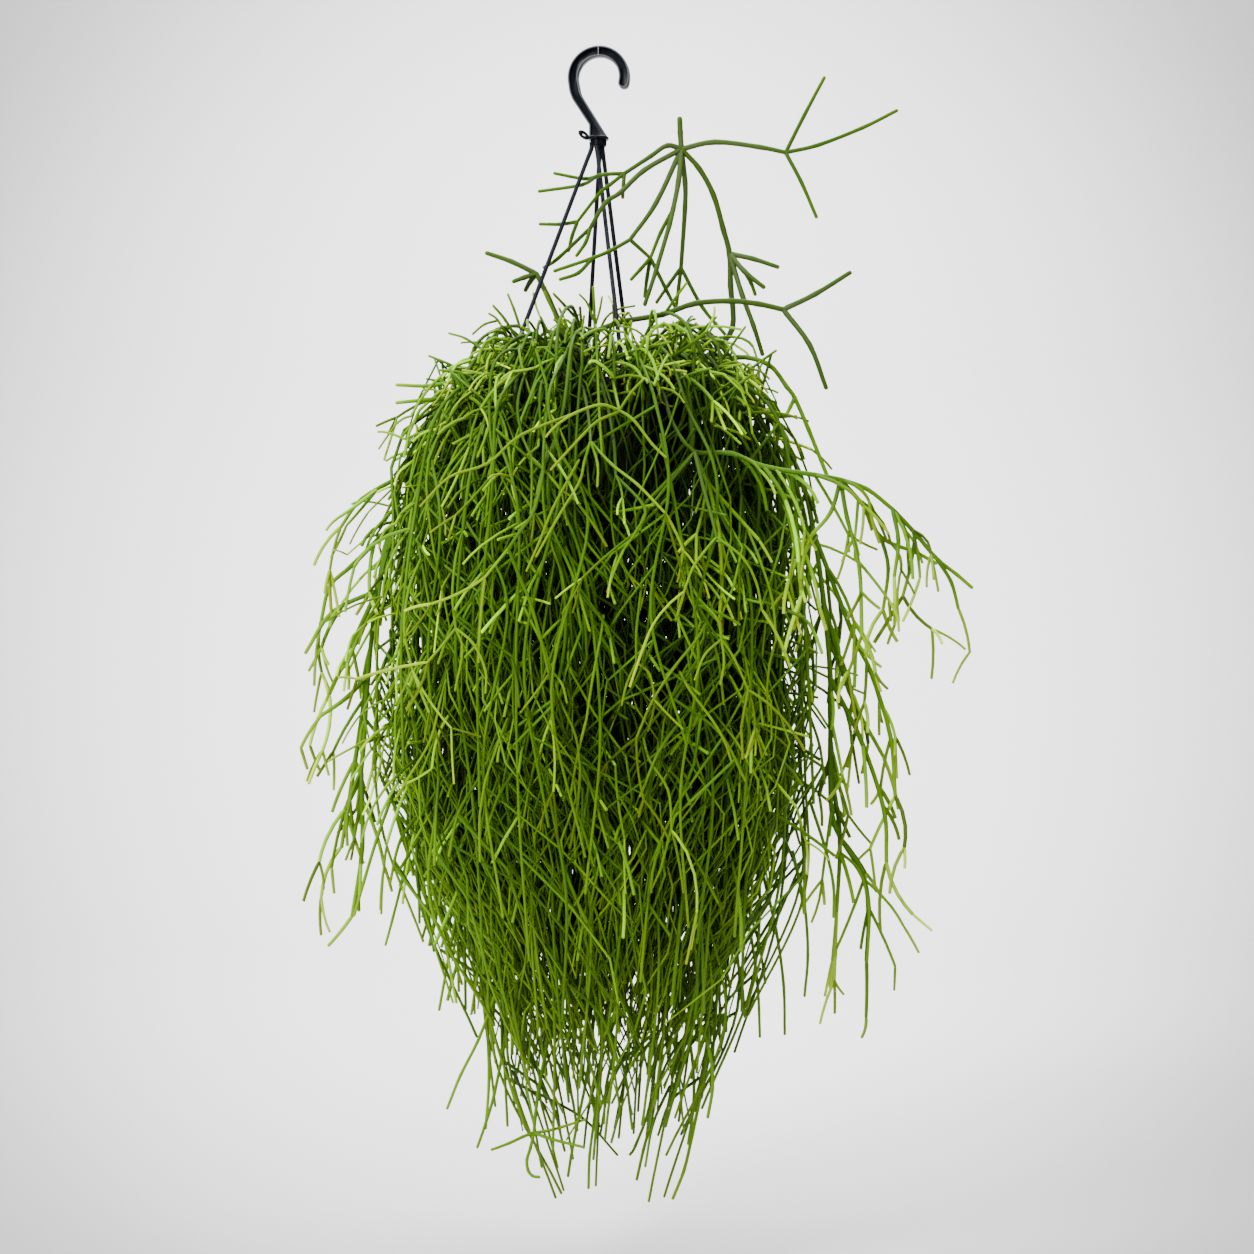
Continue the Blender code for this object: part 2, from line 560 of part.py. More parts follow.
# Stems that stand out above the rim or beside it, in mm: a main line from the
# soil, then twigs, each given by its own points
FREE_STEMS = {
    "tall_crown_stem": (
        (
            (58, 26, -329.7), (58, 26, -313), (74, 27, -284), (100, 27, -264), (120, 22, -242),
            (118, 12, -204), (117, 10, -175.5), (111, 4, -154), (102, -4, -125), (89, -8, -102),
            (73, -10, -85),
        ),
        (
            ((73, -10, -85), (72, -10, -70), (71.5, -10, -58)),
            ((73, -10, -85), (103, -12, -79), (143, -14, -84), (166, -15, -89)),
            ((166, -15, -89), (183, -12, -55), (201, -10, -21)),
            ((166, -15, -89), (195, -18, -83), (235, -22, -68), (264, -26, -54)),
            ((166, -15, -89), (180, -20, -117), (193, -22, -148)),
            ((73, -10, -85), (60, -16, -83), (45, -22, -94), (22, -32, -111)),
            ((22, -32, -111), (0, -31, -112.5), (-16, 0, -115), (-55, 10, -119)),
            ((0, -31, -112.5), (-14, 3, -109), (-41, 6, -103.5)),
            ((22, -32, -111), (9, -36, -122), (0, -34, -129), (-20, -16, -151)),
            ((-20, -16, -151), (-35, -3, -151), (-54, 2, -150)),
            ((-20, -16, -151), (-25, -13, -164), (-28, -10, -176)),
            ((22, -32, -111), (21, -34, -122), (20.5, -36, -133)),
            ((73, -10, -85), (40, -28, -107), (19, -40, -129), (5, -46, -140), (-8, -42, -161)),
            ((-8, -42, -161), (-38, -14, -184), (-50, -11, -191)),
            ((-8, -42, -161), (-12, -44, -174), (-20, -46, -186)),
            ((73, -10, -85), (50, -24, -136), (27, -46, -172)),
            ((27, -46, -172), (10, -61, -184), (-6, -63, -191), (-39, -62, -202)),
            ((-6, -63, -191), (-18, -64, -204), (-34, -66, -210)),
            ((27, -46, -172), (45, -38, -187)),
            ((73, -10, -85), (70, -22, -117), (65, -30, -143), (62, -36, -157), (50, -48, -199),
             (40, -54, -230)),
            ((65, -30, -143), (54, -34, -164), (45, -38, -187)),
            ((45, -38, -187), (36, -44, -198), (28, -46, -207)),
            ((45, -38, -187), (42, -34, -204), (40, -32, -220)),
            ((45, -38, -187), (59, -32, -214), (67, -30, -229)),
            ((73, -10, -85), (76.5, -4, -114), (76.5, 0, -136), (73, 4, -189)),
            ((73, 4, -189), (62, 5, -204), (51, 6, -220)),
            ((73, 4, -189), (71, 7, -206), (69, 9, -222)),
            ((73, 4, -189), (92, 0, -225), (112, -6, -250)),
            ((117, 10, -175.5), (138, 4, -181), (160, 0, -189)),
            ((117, 10, -175.5), (130, 0, -193), (147, -6, -208)),
            ((130, 0, -193), (136, 2, -203), (140, 5, -213)),
            ((117, 10, -175.5), (128, 1, -214), (138, -2, -242), (146, -4, -268)),
        ),
    ),
    "left_crown_stem": (
        (
            (-24, 4, -329.7), (-24, 4, -313), (-24, 2, -290), (-29, -2, -258), (-46, -5, -218),
            (-57, -6, -196),
        ),
        (
            ((-57, -6, -196), (-79, -12, -186), (-101, -16, -179)),
            ((-57, -6, -196), (-68, -10, -200), (-77, -14, -204)),
            ((-57, -6, -196), (-63, -3, -203), (-67, -1, -210)),
        ),
    ),
    "low_crown_stem": (
        (
            (-20, -34, -329.7), (-20, -34, -313), (-24, -48, -288), (-31, -62, -266), (-8, -58, -256),
            (19, -50, -245), (55, -46, -238), (84, -44, -228), (116, -42, -225.5), (140, -42, -228),
            (162, -42, -233),
        ),
        (
            ((162, -42, -233), (190, -46, -220), (220, -52, -202)),
            ((162, -42, -233), (185, -48, -265), (199, -52, -303)),
            ((-31, -62, -266), (-62, -88, -282), (-71, -106, -306), (-72, -114, -350), (-76, -120, -392)),
            ((-31, -62, -266), (-15, -88, -276), (-4, -110, -300), (6, -120, -345), (2, -124, -390)),
        ),
    ),
    "right_arching_stem": (
        (
            (40, -44, -329.7), (40, -44, -313), (50, -62, -288), (64, -90, -286), (76, -104, -312),
            (80, -110, -350), (82, -112, -364), (113, -112, -365), (141, -110, -376), (185, -106, -383),
            (207, -104, -387), (230, -102, -395), (252, -100, -412),
        ),
        (
            ((252, -100, -412), (272, -98, -433), (290, -96, -454), (308, -94, -468), (321, -92, -479)),
            ((290, -96, -454), (302, -100, -474), (308, -102, -497)),
            ((207, -104, -387), (230, -96, -412), (243, -92, -436), (274, -88, -449), (291, -86, -458)),
            ((243, -92, -436), (250, -84, -462), (246, -80, -498)),
            ((207, -104, -387), (198, -112, -415), (182, -116, -434)),
            ((252, -100, -412), (256, -108, -440), (252, -112, -470)),
            ((272, -98, -433), (268, -92, -462), (262, -90, -486)),
            ((207, -104, -387), (212, -110, -420), (222, -114, -462), (224, -116, -520)),
            ((141, -110, -376), (158, -120, -404), (168, -124, -440), (172, -126, -486)),
            ((82, -112, -364), (60, -124, -388), (38, -132, -410)),
            ((82, -112, -364), (94, -122, -396), (102, -128, -430)),
        ),
    ),
    "right_drooping_stem": (
        (
            (72, -14, -329.7), (72, -14, -313), (90, -18, -284), (122, -24, -273), (150, -28, -280),
            (166, -30, -300), (173, -31, -310), (185, -34, -338), (201, -38, -379),
        ),
        (((173, -31, -310), (169, -34, -318), (165, -36, -326)),),
    ),
    "left_rim_stem": (
        (
            (-73, -4, -329.7), (-73, -4, -313), (-90, -8, -288), (-112, -14, -290), (-129, -18, -308),
            (-135, -22, -340), (-137, -26, -380),
        ),
        (
            ((-112, -14, -290), (-150, -22, -298), (-180, -28, -298)),
            ((-129, -18, -308), (-156, -24, -311), (-180, -30, -314)),
        ),
    ),
    "left_flank_stem": (
        (
            (-71, 14, -329.7), (-71, 14, -313), (-92, 16, -284), (-122, 16, -292), (-152, 12, -326),
            (-178, 4, -376), (-186, 0, -420), (-200, -4, -480), (-208, -6, -556), (-214, -8, -640),
            (-228, -10, -676),
        ),
        (
            ((-178, 4, -376), (-214, -4, -398), (-232, -8, -423)),
            ((-186, 0, -420), (-222, 4, -456), (-244, 8, -476), (-252, 10, -506)),
            ((-200, -4, -480), (-240, -10, -500), (-263, -14, -536)),
            ((-200, -4, -480), (-226, 4, -534), (-245, 10, -574)),
            ((-208, -6, -556), (-226, -16, -576), (-248, -24, -592)),
            ((-208, -6, -556), (-222, 6, -640), (-234, 12, -712)),
            ((-214, -8, -640), (-212, -18, -710), (-220, -26, -770)),
        ),
    ),
    "right_flank_stem": (
        (
            (70, 10, -329.7), (70, 10, -313), (92, 12, -284), (122, 12, -290), (152, 8, -322),
            (180, 0, -376), (192, -8, -430), (200, -14, -490), (206, -16, -560), (206, -14, -640),
            (210, -10, -690), (234, -8, -732), (241, -8, -765), (239, -8, -812),
        ),
        (
            ((192, -8, -430), (226, -20, -520), (241, -26, -553), (258, -30, -610), (262, -32, -663)),
            ((200, -14, -490), (224, -4, -571), (255, 4, -629)),
            ((206, -16, -560), (232, -26, -613), (252, -32, -675), (254, -34, -721)),
            ((206, -14, -640), (216, 2, -700), (214, 10, -770)),
        ),
    ),
}


def free_stems(room):
    """The stems whose course is given by hand, each with all its twigs."""
    stems = []
    for owner, (name, (main, twigs)) in enumerate(FREE_STEMS.items()):
        main = np.array(main) * MM
        lines = [(main, np.linspace(STEM_RADIUS, TWIG_RADIUS, len(main)))]
        for twig in twigs:
            twig = np.array(twig) * MM
            lines.append((twig, tapered(twig, TWIG_RADIUS, TIP_RADIUS)))
        for points, radii in lines:
            if not room.is_free(points, radii, owner):
                print(f"{name} is close to another piece near {points[0]}")
            room.add(points, radii, owner)
        stems.append((name, lines))
    return stems


def twig_line(points, share, chance):
    """A drooping twig from a place on a stem, or a short erect one above the rim."""
    start, heading = along(points, share)
    high = start[2] > RIM_TOP - 15 * MM
    length = chance.uniform(0.030, 0.058) if high else chance.uniform(0.075, 0.130)
    tilt = chance.uniform(0.45, 0.95)
    droop = chance.uniform(0.0, 0.4) if high else chance.uniform(0.5, 0.95)
    way = spread(heading, tilt, chance.uniform(0.0, 2 * math.pi))
    if high:
        way = way + np.array((0.0, 0.0, chance.uniform(0.5, 1.2)))
        way /= np.linalg.norm(way)
    line = drooping(start, way, length, droop, 2)
    tip = line[-1]
    most = reach(tip[2], math.atan2(tip[1], tip[0]))
    share_out = math.hypot(tip[0], tip[1]) / most
    fits = (high or 0.3 < share_out < 1.04) and tip[2] > -DEEPEST
    return line if fits and outside_pot(line[1:], 5 * MM) else None


def tapered(line, first, last):
    """Radii along a line that leaves its parent through a narrow neck."""
    radii = np.linspace(first, last, len(line))
    radii[0] = NECK_RADIUS
    return radii


def main_stems(room, chance, first_owner, roots):
    """The main line of each trailing stem, ring by ring, left out where it finds no room."""
    stems = []
    for count, root, hang, arch, first in RINGS:
        for i in range(count):
            for _ in range(TRIES):
                azimuth = math.radians(first + 360.0 * (i + chance.uniform(-0.2, 0.2)) / count)
                foot = root + chance.uniform(-4, 4) * MM
                place = np.array((foot * math.cos(azimuth), foot * math.sin(azimuth)))
                wide = hang * chance.uniform(0.93, 1.07)
                high = arch * chance.uniform(0.7, 1.3)
                line = trailing_axis(azimuth, foot, wide, high, chance)
                radii = np.linspace(STEM_RADIUS, TIP_RADIUS, len(line))
                apart = min(np.hypot(*(place - other)) for other in roots) > ROOT_SPACING
                if apart and room.is_free(line, radii, first_owner + len(stems)):
                    room.add(line, radii, first_owner + len(stems))
                    roots.append(place)
                    stems.append([(line, radii)])
                    break
    return stems


def grow_on(stem, room, chance, owner, make, first, last):
    """One more line on a stem, if one of several tries has room."""
    for _ in range(TRIES):
        line = make()
        if line is None:
            continue
        radii = tapered(line, first, last)
        if room.is_free(line, radii, owner):
            room.add(line, radii, owner)
            stem.append((line, radii))
            return


def trailing_stems(room, first_owner, roots):
    """Stems all round the pot, each with two forks and its twigs, clear of each other."""
    chance = np.random.default_rng(TRAILING_SEED)
    stems = main_stems(room, chance, first_owner, roots)
    for share, turn, change in FORKS:
        for i, stem in enumerate(stems):
            grow_on(
                stem,
                room,
                chance,
                first_owner + i,
                lambda: fork_line(
                    stem[0][0],
                    share + chance.uniform(-0.05, 0.05),
                    math.radians(turn * chance.uniform(0.6, 1.5)),
                    change + chance.uniform(-0.012, 0.012),
                    chance,
                ),
                TWIG_RADIUS,
                TIP_RADIUS,
            )
    forked = [len(stem) for stem in stems]
    for part, share in TWIG_PLACES:
        for i, stem in enumerate(stems):
            if part < forked[i]:
                grow_on(
                    stem,
                    room,
                    chance,
                    first_owner + i,
                    lambda: twig_line(stem[part][0], share + chance.uniform(-0.07, 0.07), chance),
                    TWIG_RADIUS,
                    TIP_RADIUS,
                )
    return [(f"trailing_stem_{i + 1:02d}", lines) for i, lines in enumerate(stems)]


def build_stems(parts, guides, finish):
    """Every stem as one solid; returns where they stand in the soil."""
    circle = [(math.cos(a), math.sin(a)) for a in np.radians((90, 210, 330))]
    outline = link(section("stem_section", circle), guides)
    room = Room()
    for i, (_, degrees, x, y) in enumerate(STRANDS):
        line = [tuple(point) for point in strand_line(degrees, x, y)]
        room.add(line, np.full(len(line), STRAND_RADIUS), -1 - i)
    stems = free_stems(room)
    roots = [lines[0][0][0][:2] for _, lines in stems]
    stems += trailing_stems(room, len(stems), roots)
    for name, lines in stems:
        curves = []
        for i, (points, radii) in enumerate(lines):
            curves.append(link(swept(f"{name}_{i}", points, radii, outline), parts))
        main, *twigs = as_meshes(curves)
        finished(combined(name, main, twigs, "UNION"), parts, finish, STEM_ROUND_ANGLE)
    return roots


def main():
    clear_scene()
    scene = bpy.context.scene.collection
    parts = bpy.data.collections.new("mistletoe_cactus")
    guides = bpy.data.collections.new("guides")
    guides.hide_render = True
    scene.children.link(parts)
    scene.children.link(guides)
    black = material("hook_black_plastic", (0.012, 0.014, 0.016), 0.38)
    cord = material("strand_black_plastic", (0.016, 0.018, 0.022), 0.45)
    pot = material("pot_black_plastic", (0.014, 0.013, 0.012), 0.55)
    earth = material("potting_soil", (0.030, 0.020, 0.013), 0.95)
    green = material("stem_green", (0.13, 0.26, 0.03), 0.5)
    build_hook(parts, guides, black)
    build_pot(parts, pot)
    build_strands(parts, guides, cord)
    roots = build_stems(parts, guides, green)
    build_soil(parts, earth, roots)


main()
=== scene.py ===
import json
import math

import bmesh
import bpy
import numpy as np
from mathutils import Matrix, Vector, noise

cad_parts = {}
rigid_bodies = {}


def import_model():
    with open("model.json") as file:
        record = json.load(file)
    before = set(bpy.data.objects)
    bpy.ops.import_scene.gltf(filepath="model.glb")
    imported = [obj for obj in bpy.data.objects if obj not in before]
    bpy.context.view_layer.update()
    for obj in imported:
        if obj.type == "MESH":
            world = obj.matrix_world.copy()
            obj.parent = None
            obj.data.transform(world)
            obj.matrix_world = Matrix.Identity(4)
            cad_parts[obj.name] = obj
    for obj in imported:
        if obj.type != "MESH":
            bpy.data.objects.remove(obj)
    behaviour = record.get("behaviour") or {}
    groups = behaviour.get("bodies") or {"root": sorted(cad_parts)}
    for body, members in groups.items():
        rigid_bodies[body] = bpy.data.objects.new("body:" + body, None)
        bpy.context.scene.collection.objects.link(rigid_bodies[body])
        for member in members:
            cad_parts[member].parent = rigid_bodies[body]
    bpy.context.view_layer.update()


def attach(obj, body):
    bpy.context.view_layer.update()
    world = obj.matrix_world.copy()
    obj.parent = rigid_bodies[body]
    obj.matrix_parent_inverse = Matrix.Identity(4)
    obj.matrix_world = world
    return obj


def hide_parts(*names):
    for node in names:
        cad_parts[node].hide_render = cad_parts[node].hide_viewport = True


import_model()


# Hook: one black polypropylene moulding, an open crown over a slanting shank. Both faces
# are cored out, which leaves a raised flange round a thin web. A gusset, a round collar
# and a socket block at its foot hold the four strands, and a label ring stands beside them.
MM = 0.001
HOOK_WIDTH = 9.4 * MM
HOOK_DEPTH = 9.5 * MM
HOOK_WEB = 3.2 * MM
HOOK_FLANGE = 1.5 * MM
HOOK_DRAFT = 0.5 * MM
HOOK_EDGE = 0.45 * MM
HOOK_TURN = -8.0
CROWN_CENTRE = (-0.9 * MM, -18.6 * MM)
CROWN_RADIUS = 23.3 * MM
TIP_ANGLE = -15.0
SHANK_ANGLE = 190.0
SHANK_OUTSIDE = ((-27.2, -31.5), (-24.6, -38.4), (-9.4, -61.6), (-9.4, -72.6))
SHANK_INSIDE = ((7.2, -72.6), (-13.2, -39.4), (-16.9, -32.6))
COLLAR_X = -1.4 * MM
COLLAR_PROFILE = ((0.0, -72.3), (8.9, -72.3), (9.4, -72.8), (9.4, -74.3), (8.9, -74.9), (7.4, -74.9),
                  (7.4, -79.9), (6.9, -80.5), (0.0, -80.5))
EYE_PLACE = (-14.6, -1.0, -70.0)
EYE_TURN = ((78.0, "X"), (38.0, "Y"), (10.0, "Z"))
EYE_OVAL = (1.12, 0.58, 1.0, 1.0)
MOULD_LINE = 0.8 * MM
PLASTIC_BLACK = (0.0012, 0.0018, 0.0032)
# The light grey painted onto the hook's edges as a highlight
PAINTED_HIGHLIGHT_GREY = (0.070, 0.076, 0.086)


def shader_of(name):
    """A new material with its tree, its Principled shader and a maker of more nodes."""
    finish = bpy.data.materials.new(name)
    finish.use_nodes = True
    tree = finish.node_tree
    return finish, tree, tree.nodes["Principled BSDF"]


def node(tree, kind, **settings):
    """A node with its plain settings, and its sockets set where a name matches one."""
    made = tree.nodes.new(kind)
    for label, value in settings.items():
        if label in made.inputs.keys():
            made.inputs[label].default_value = value
        else:
            setattr(made, label, value)
    return made


def object_noise(tree, scale, detail, roughness=0.5):
    """A noise pattern fixed to the piece's own place."""
    place = node(tree, "ShaderNodeTexCoord")
    pattern = node(tree, "ShaderNodeTexNoise", Scale=scale, Detail=detail, Roughness=roughness)
    tree.links.new(place.outputs["Object"], pattern.inputs["Vector"])
    return pattern.outputs["Fac"]


def ramp(tree, source, stops):
    """A colour ramp over a value; stops are (place, colour)."""
    made = node(tree, "ShaderNodeValToRGB")
    band = made.color_ramp
    while len(band.elements) < len(stops):
        band.elements.new(0.5)
    for element, (place, colour) in zip(band.elements, stops):
        element.position = place
        element.color = (*colour, 1.0)
    tree.links.new(source, made.inputs["Fac"])
    return made.outputs["Color"]


def spread_to(tree, source, low, high, first=0.0, last=1.0, kind="LINEAR"):
    """A value that runs from low to high while the source runs from first to last."""
    made = node(tree, "ShaderNodeMapRange", interpolation_type=kind)
    for socket, value in zip(("From Min", "From Max", "To Min", "To Max"), (first, last, low, high)):
        made.inputs[socket].default_value = value
    tree.links.new(source, made.inputs["Value"])
    return made.outputs["Result"]


def bumped(tree, shader, source, height, strength=0.6):
    made = node(tree, "ShaderNodeBump", Strength=strength, Distance=height)
    tree.links.new(source, made.inputs["Height"])
    tree.links.new(made.outputs["Normal"], shader.inputs["Normal"])


def black_plastic(name, colour, smooth, rough, grain):
    """Moulded plastic: a fine grain, handling marks in its gloss, dust, and a light grey painted highlight
    where a point is marked for one.
    """
    finish, tree, shader = shader_of(name)
    dusty = tuple(channel * 1.8 + 0.001 for channel in colour)
    cloud = object_noise(tree, 70.0, 4.0)
    painted_highlight = node(tree, "ShaderNodeAttribute", attribute_name="painted_highlight")
    # Painted highlight: marked points go towards the light grey, and the mould line goes past it
    mixed = node(tree, "ShaderNodeMix", data_type="RGBA", clamp_factor=False)
    tree.links.new(painted_highlight.outputs["Fac"], mixed.inputs[0])
    tree.links.new(ramp(tree, cloud, ((0.35, colour), (0.85, dusty))), mixed.inputs[6])
    mixed.inputs[7].default_value = (*PAINTED_HIGHLIGHT_GREY, 1.0)
    tree.links.new(mixed.outputs[2], shader.inputs["Base Color"])
    tree.links.new(spread_to(tree, object_noise(tree, 240.0, 3.0), smooth, rough), shader.inputs["Roughness"])
    bumped(tree, shader, object_noise(tree, grain, 2.0), 0.06 * MM)
    shader.inputs["Specular IOR Level"].default_value = 0.06
    return finish


def placed(name, data):
    """A new object in the scene, at the origin."""
    made = bpy.data.objects.new(name, data)
    bpy.context.scene.collection.objects.link(made)
    return made


def mesh_of(shape, name):
    """A finished bmesh as a mesh."""
    mesh = bpy.data.meshes.new(name)
    shape.to_mesh(mesh)
    shape.free()
    return mesh


def finished(piece, nodes, finish):
    """A piece of the object: its material, the body that it rides on, what it stands for."""
    piece.data.materials.clear()
    piece.data.materials.append(finish)
    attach(piece, "root")
    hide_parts(*nodes)
    return piece


def applied(piece):
    """The piece's mesh as its modifiers leave it, in place at the origin."""
    bpy.context.view_layer.update()
    graph = bpy.context.evaluated_depsgraph_get()
    mesh = bpy.data.meshes.new_from_object(piece.evaluated_get(graph))
    mesh.transform(piece.matrix_world)
    piece.modifiers.clear()
    piece.matrix_world = Matrix.Identity(4)
    piece.data = mesh
    return piece


def turned(name, profile, steps):
    """A profile in millimetres, turned about Z."""
    mesh = bpy.data.meshes.new(name)
    points = [(x * MM, 0.0, z * MM) for x, z in profile]
    mesh.from_pydata(points, [(i, i + 1) for i in range(len(points) - 1)], [])
    piece = placed(name, mesh)
    screw = piece.modifiers.new("turn", "SCREW")
    screw.steps = steps
    screw.render_steps = steps
    screw.use_merge_vertices = True
    screw.merge_threshold = 1e-5
    return piece


def welded(mesh, dist=1e-5):
    shape = bmesh.new()
    shape.from_mesh(mesh)
    bmesh.ops.remove_doubles(shape, verts=shape.verts, dist=dist)
    bmesh.ops.recalc_face_normals(shape, faces=shape.faces)
    shape.to_mesh(mesh)
    shape.free()
    return mesh


def shaded_round(piece, degrees=35.0):
    piece.data.shade_smooth()
    piece.data.set_sharp_from_angle(angle=math.radians(degrees))
    return piece


def joined(name, pieces):
    """Several plain meshes as one object, each part still closed."""
    shape = bmesh.new()
    for piece in pieces:
        shape.from_mesh(piece.data)
        bpy.data.objects.remove(piece)
    return placed(name, mesh_of(shape, name))


def arc(centre, radius, first, last, steps):
    angles = np.radians(np.linspace(first, last, steps))
    return [(centre[0] + radius * math.cos(a), centre[1] + radius * math.sin(a)) for a in angles]


def eased(points, steps):
    """Points along a Catmull-Rom curve through the given ones."""
    points = np.asarray(points, float)
    ends = np.vstack([2 * points[0] - points[1], points, 2 * points[-1] - points[-2]])
    a, b, c, d = (ends[i : i + len(points) - 1, None] for i in range(4))
    t = (np.arange(steps) / steps)[None, :, None]
    curve = 2 * b + (c - a) * t + (2 * a - 5 * b + 4 * c - d) * t**2 + (3 * b - a - 3 * c + d) * t**3
    return np.vstack([0.5 * curve.reshape(-1, points.shape[1]), points[-1:]])


def hook_outline():
    """The hook's front view, from the tip round the outside and back up the inside."""
    half = HOOK_WIDTH / 2
    tip = arc(CROWN_CENTRE, CROWN_RADIUS, TIP_ANGLE, TIP_ANGLE, 1)[0]
    end = arc(tip, half, TIP_ANGLE - 170.0, TIP_ANGLE - 10.0, 11)
    outside = arc(CROWN_CENTRE, CROWN_RADIUS + half, TIP_ANGLE, SHANK_ANGLE, 44)
    shank = [(x * MM, z * MM) for x, z in SHANK_OUTSIDE]
    back = [(x * MM, z * MM) for x, z in SHANK_INSIDE]
    inside = arc(CROWN_CENTRE, CROWN_RADIUS - half, SHANK_ANGLE + 4.0, TIP_ANGLE, 36)
    down = eased([outside[-1], *shank[:2]], 4)[1:].tolist()
    up = eased([back[1], back[2], inside[0]], 4)[:-1].tolist()
    return end + outside + down + shank[2:] + back[:1] + up + inside


def hook_body():
    """The front half, cored out inside its flange and mirrored to the back."""
    front = -HOOK_DEPTH / 2
    shape = bmesh.new()
    rim = [shape.verts.new((x, front, z)) for x, z in hook_outline()]
    face = shape.faces.new(rim)
    edges = list(face.edges)
    walls = bmesh.ops.extrude_edge_only(shape, edges=edges)["geom"]
    for vert in (part for part in walls if isinstance(part, bmesh.types.BMVert)):
        vert.co.y = 0.0
    bmesh.ops.inset_region(shape, faces=[face], thickness=HOOK_FLANGE, use_even_offset=True)
    bmesh.ops.inset_region(
        shape, faces=[face], thickness=HOOK_DRAFT, depth=-(HOOK_DEPTH - HOOK_WEB) / 2, use_even_offset=True
    )
    bmesh.ops.recalc_face_normals(shape, faces=shape.faces)
    if face.normal.y > 0:
        bmesh.ops.reverse_faces(shape, faces=shape.faces)
    body = placed("hook_body", mesh_of(shape, "hook_body"))
    mirror = body.modifiers.new("back", "MIRROR")
    mirror.use_axis = (False, True, False)
    mirror.merge_threshold = 1e-5
    bevel = body.modifiers.new("edges", "BEVEL")
    bevel.width = HOOK_EDGE
    bevel.segments = 2
    bevel.limit_method = "ANGLE"
    bevel.angle_limit = math.radians(32)
    bevel.harden_normals = False
    return applied(body)


def small_bar(name, size, place, turn=0.0, edge=0.15 * MM):
    """A bevelled block, for ribs and toggles."""
    shape = bmesh.new()
    bmesh.ops.create_cube(shape, size=1.0)
    bmesh.ops.scale(shape, vec=size, verts=shape.verts)
    bmesh.ops.bevel(shape, geom=shape.edges, offset=edge, segments=2, affect="EDGES", profile=0.5)
    mesh = mesh_of(shape, name)
    mesh.transform(Matrix.Translation(place) @ Matrix.Rotation(math.radians(turn), 4, "Z"))
    return placed(name, mesh)


def label_ring():
    """A moulded ring, about twice as long as it is wide, that slants down to the collar."""
    bpy.ops.mesh.primitive_torus_add(
        major_radius=3.35 * MM, minor_radius=2.05 * MM, major_segments=40, minor_segments=12
    )
    ring = bpy.context.object
    turn = Matrix.Diagonal(EYE_OVAL)
    for degrees, axis in EYE_TURN:
        turn = Matrix.Rotation(math.radians(degrees), 4, axis) @ turn
    ring.data.transform(Matrix.Translation(Vector(EYE_PLACE) * MM) @ turn)
    return ring


def paint_edge_highlights(mesh):
    """Marks how strongly each point is painted lighter: a painted highlight on the flanges, stronger on the
    mould line, and a little lighter under the crown.
    """
    places = np.zeros(len(mesh.vertices) * 3)
    mesh.vertices.foreach_get("co", places)
    x, y, z = places.reshape(-1, 3).T
    # Painted highlight on the flanges of both faces
    highlight_share = np.clip((np.abs(y) - (HOOK_DEPTH / 2 - 0.3 * MM)) / (0.3 * MM), 0.0, 1.0)
    inside = np.hypot(x - CROWN_CENTRE[0], z - CROWN_CENTRE[1]) < CROWN_RADIUS - HOOK_WIDTH / 2 + 0.3 * MM
    highlight_share = np.where(inside & (z > -9 * MM), 0.12, highlight_share)
    line = (np.abs(x - CROWN_CENTRE[0]) < 0.6 * MOULD_LINE) & (z > -4 * MM) & (np.abs(y) > HOOK_DEPTH / 2)
    mesh.attributes.new("painted_highlight", "FLOAT", "POINT").data.foreach_set("value", np.where(line, 2.0, highlight_share))


def make_hook(finish):
    collar = applied(turned("collar", COLLAR_PROFILE, 64))
    welded(collar.data)
    collar.data.transform(Matrix.Translation((COLLAR_X, 0.0, 0.0)))
    rib_top = CROWN_CENTRE[1] + CROWN_RADIUS
    ribs = [
        small_bar(
            f"mould_rib_{side}",
            (MOULD_LINE, 1.2 * MM, HOOK_WIDTH - 0.6 * MM),
            (CROWN_CENTRE[0], side * (HOOK_DEPTH / 2 - 0.5 * MM), rib_top),
        )
        for side in (-1, 1)
    ]
    body = hook_body()
    hook = joined("hook_moulding", [body, label_ring(), *ribs])
    paint_edge_highlights(hook.data)
    hook.data.transform(Matrix.Rotation(math.radians(HOOK_TURN), 4, "Z"))
    whole = joined("hook_moulding", [hook, collar])
    return shaded_round(finished(whole, ["hook"], finish))


make_hook(black_plastic("hook_black_plastic", PLASTIC_BLACK, 0.24, 0.36, 900.0))


# Strands: four black moulded cords, one piece with the hanger. Each is thicker where it
# leaves the socket block, goes through a slot in the pot's rim and is held by a toggle
# below it. A tree sweeps a round section along each cord's line.
GAP = 0.3 * MM
STRANDS = (
    ("strand_left", 205.0, -6.2, -1.6),
    ("strand_front", 283.0, -1.4, -5.0),
    ("strand_back", 99.0, 1.2, 4.8),
    ("strand_right", 71.0, 3.6, 0.2),
)
STRAND_RADIUS = 1.95 * MM
STRAND_ROOT_RADIUS = 2.3 * MM
STRAND_CIRCLE = 95.0 * MM
SOCKET_BOTTOM = -80.5 * MM
RIM_TOP = -298.0 * MM
POT_WALL = 2.0 * MM
TOGGLE_SIZE = (3.8 * MM, 8.0 * MM, 3.0 * MM)


def tree_with(name, inputs):
    """A Geometry Nodes tree with its named inputs; returns it with its two end nodes."""
    tree = bpy.data.node_groups.new(name, "GeometryNodeTree")
    tree.interface.new_socket("Geometry", in_out="INPUT", socket_type="NodeSocketGeometry")
    tree.interface.new_socket("Geometry", in_out="OUTPUT", socket_type="NodeSocketGeometry")
    for label, kind in inputs:
        tree.interface.new_socket(label, in_out="INPUT", socket_type=kind)
    return tree, tree.nodes.new("NodeGroupInput"), tree.nodes.new("NodeGroupOutput")


def chained(tree, *steps):
    """Links each node's geometry to the next one's."""
    for first, second in zip(steps, steps[1:]):
        out = next(s for s in first.outputs if s.type == "GEOMETRY")
        into = next(s for s in second.inputs if s.type == "GEOMETRY")
        tree.links.new(out, into)


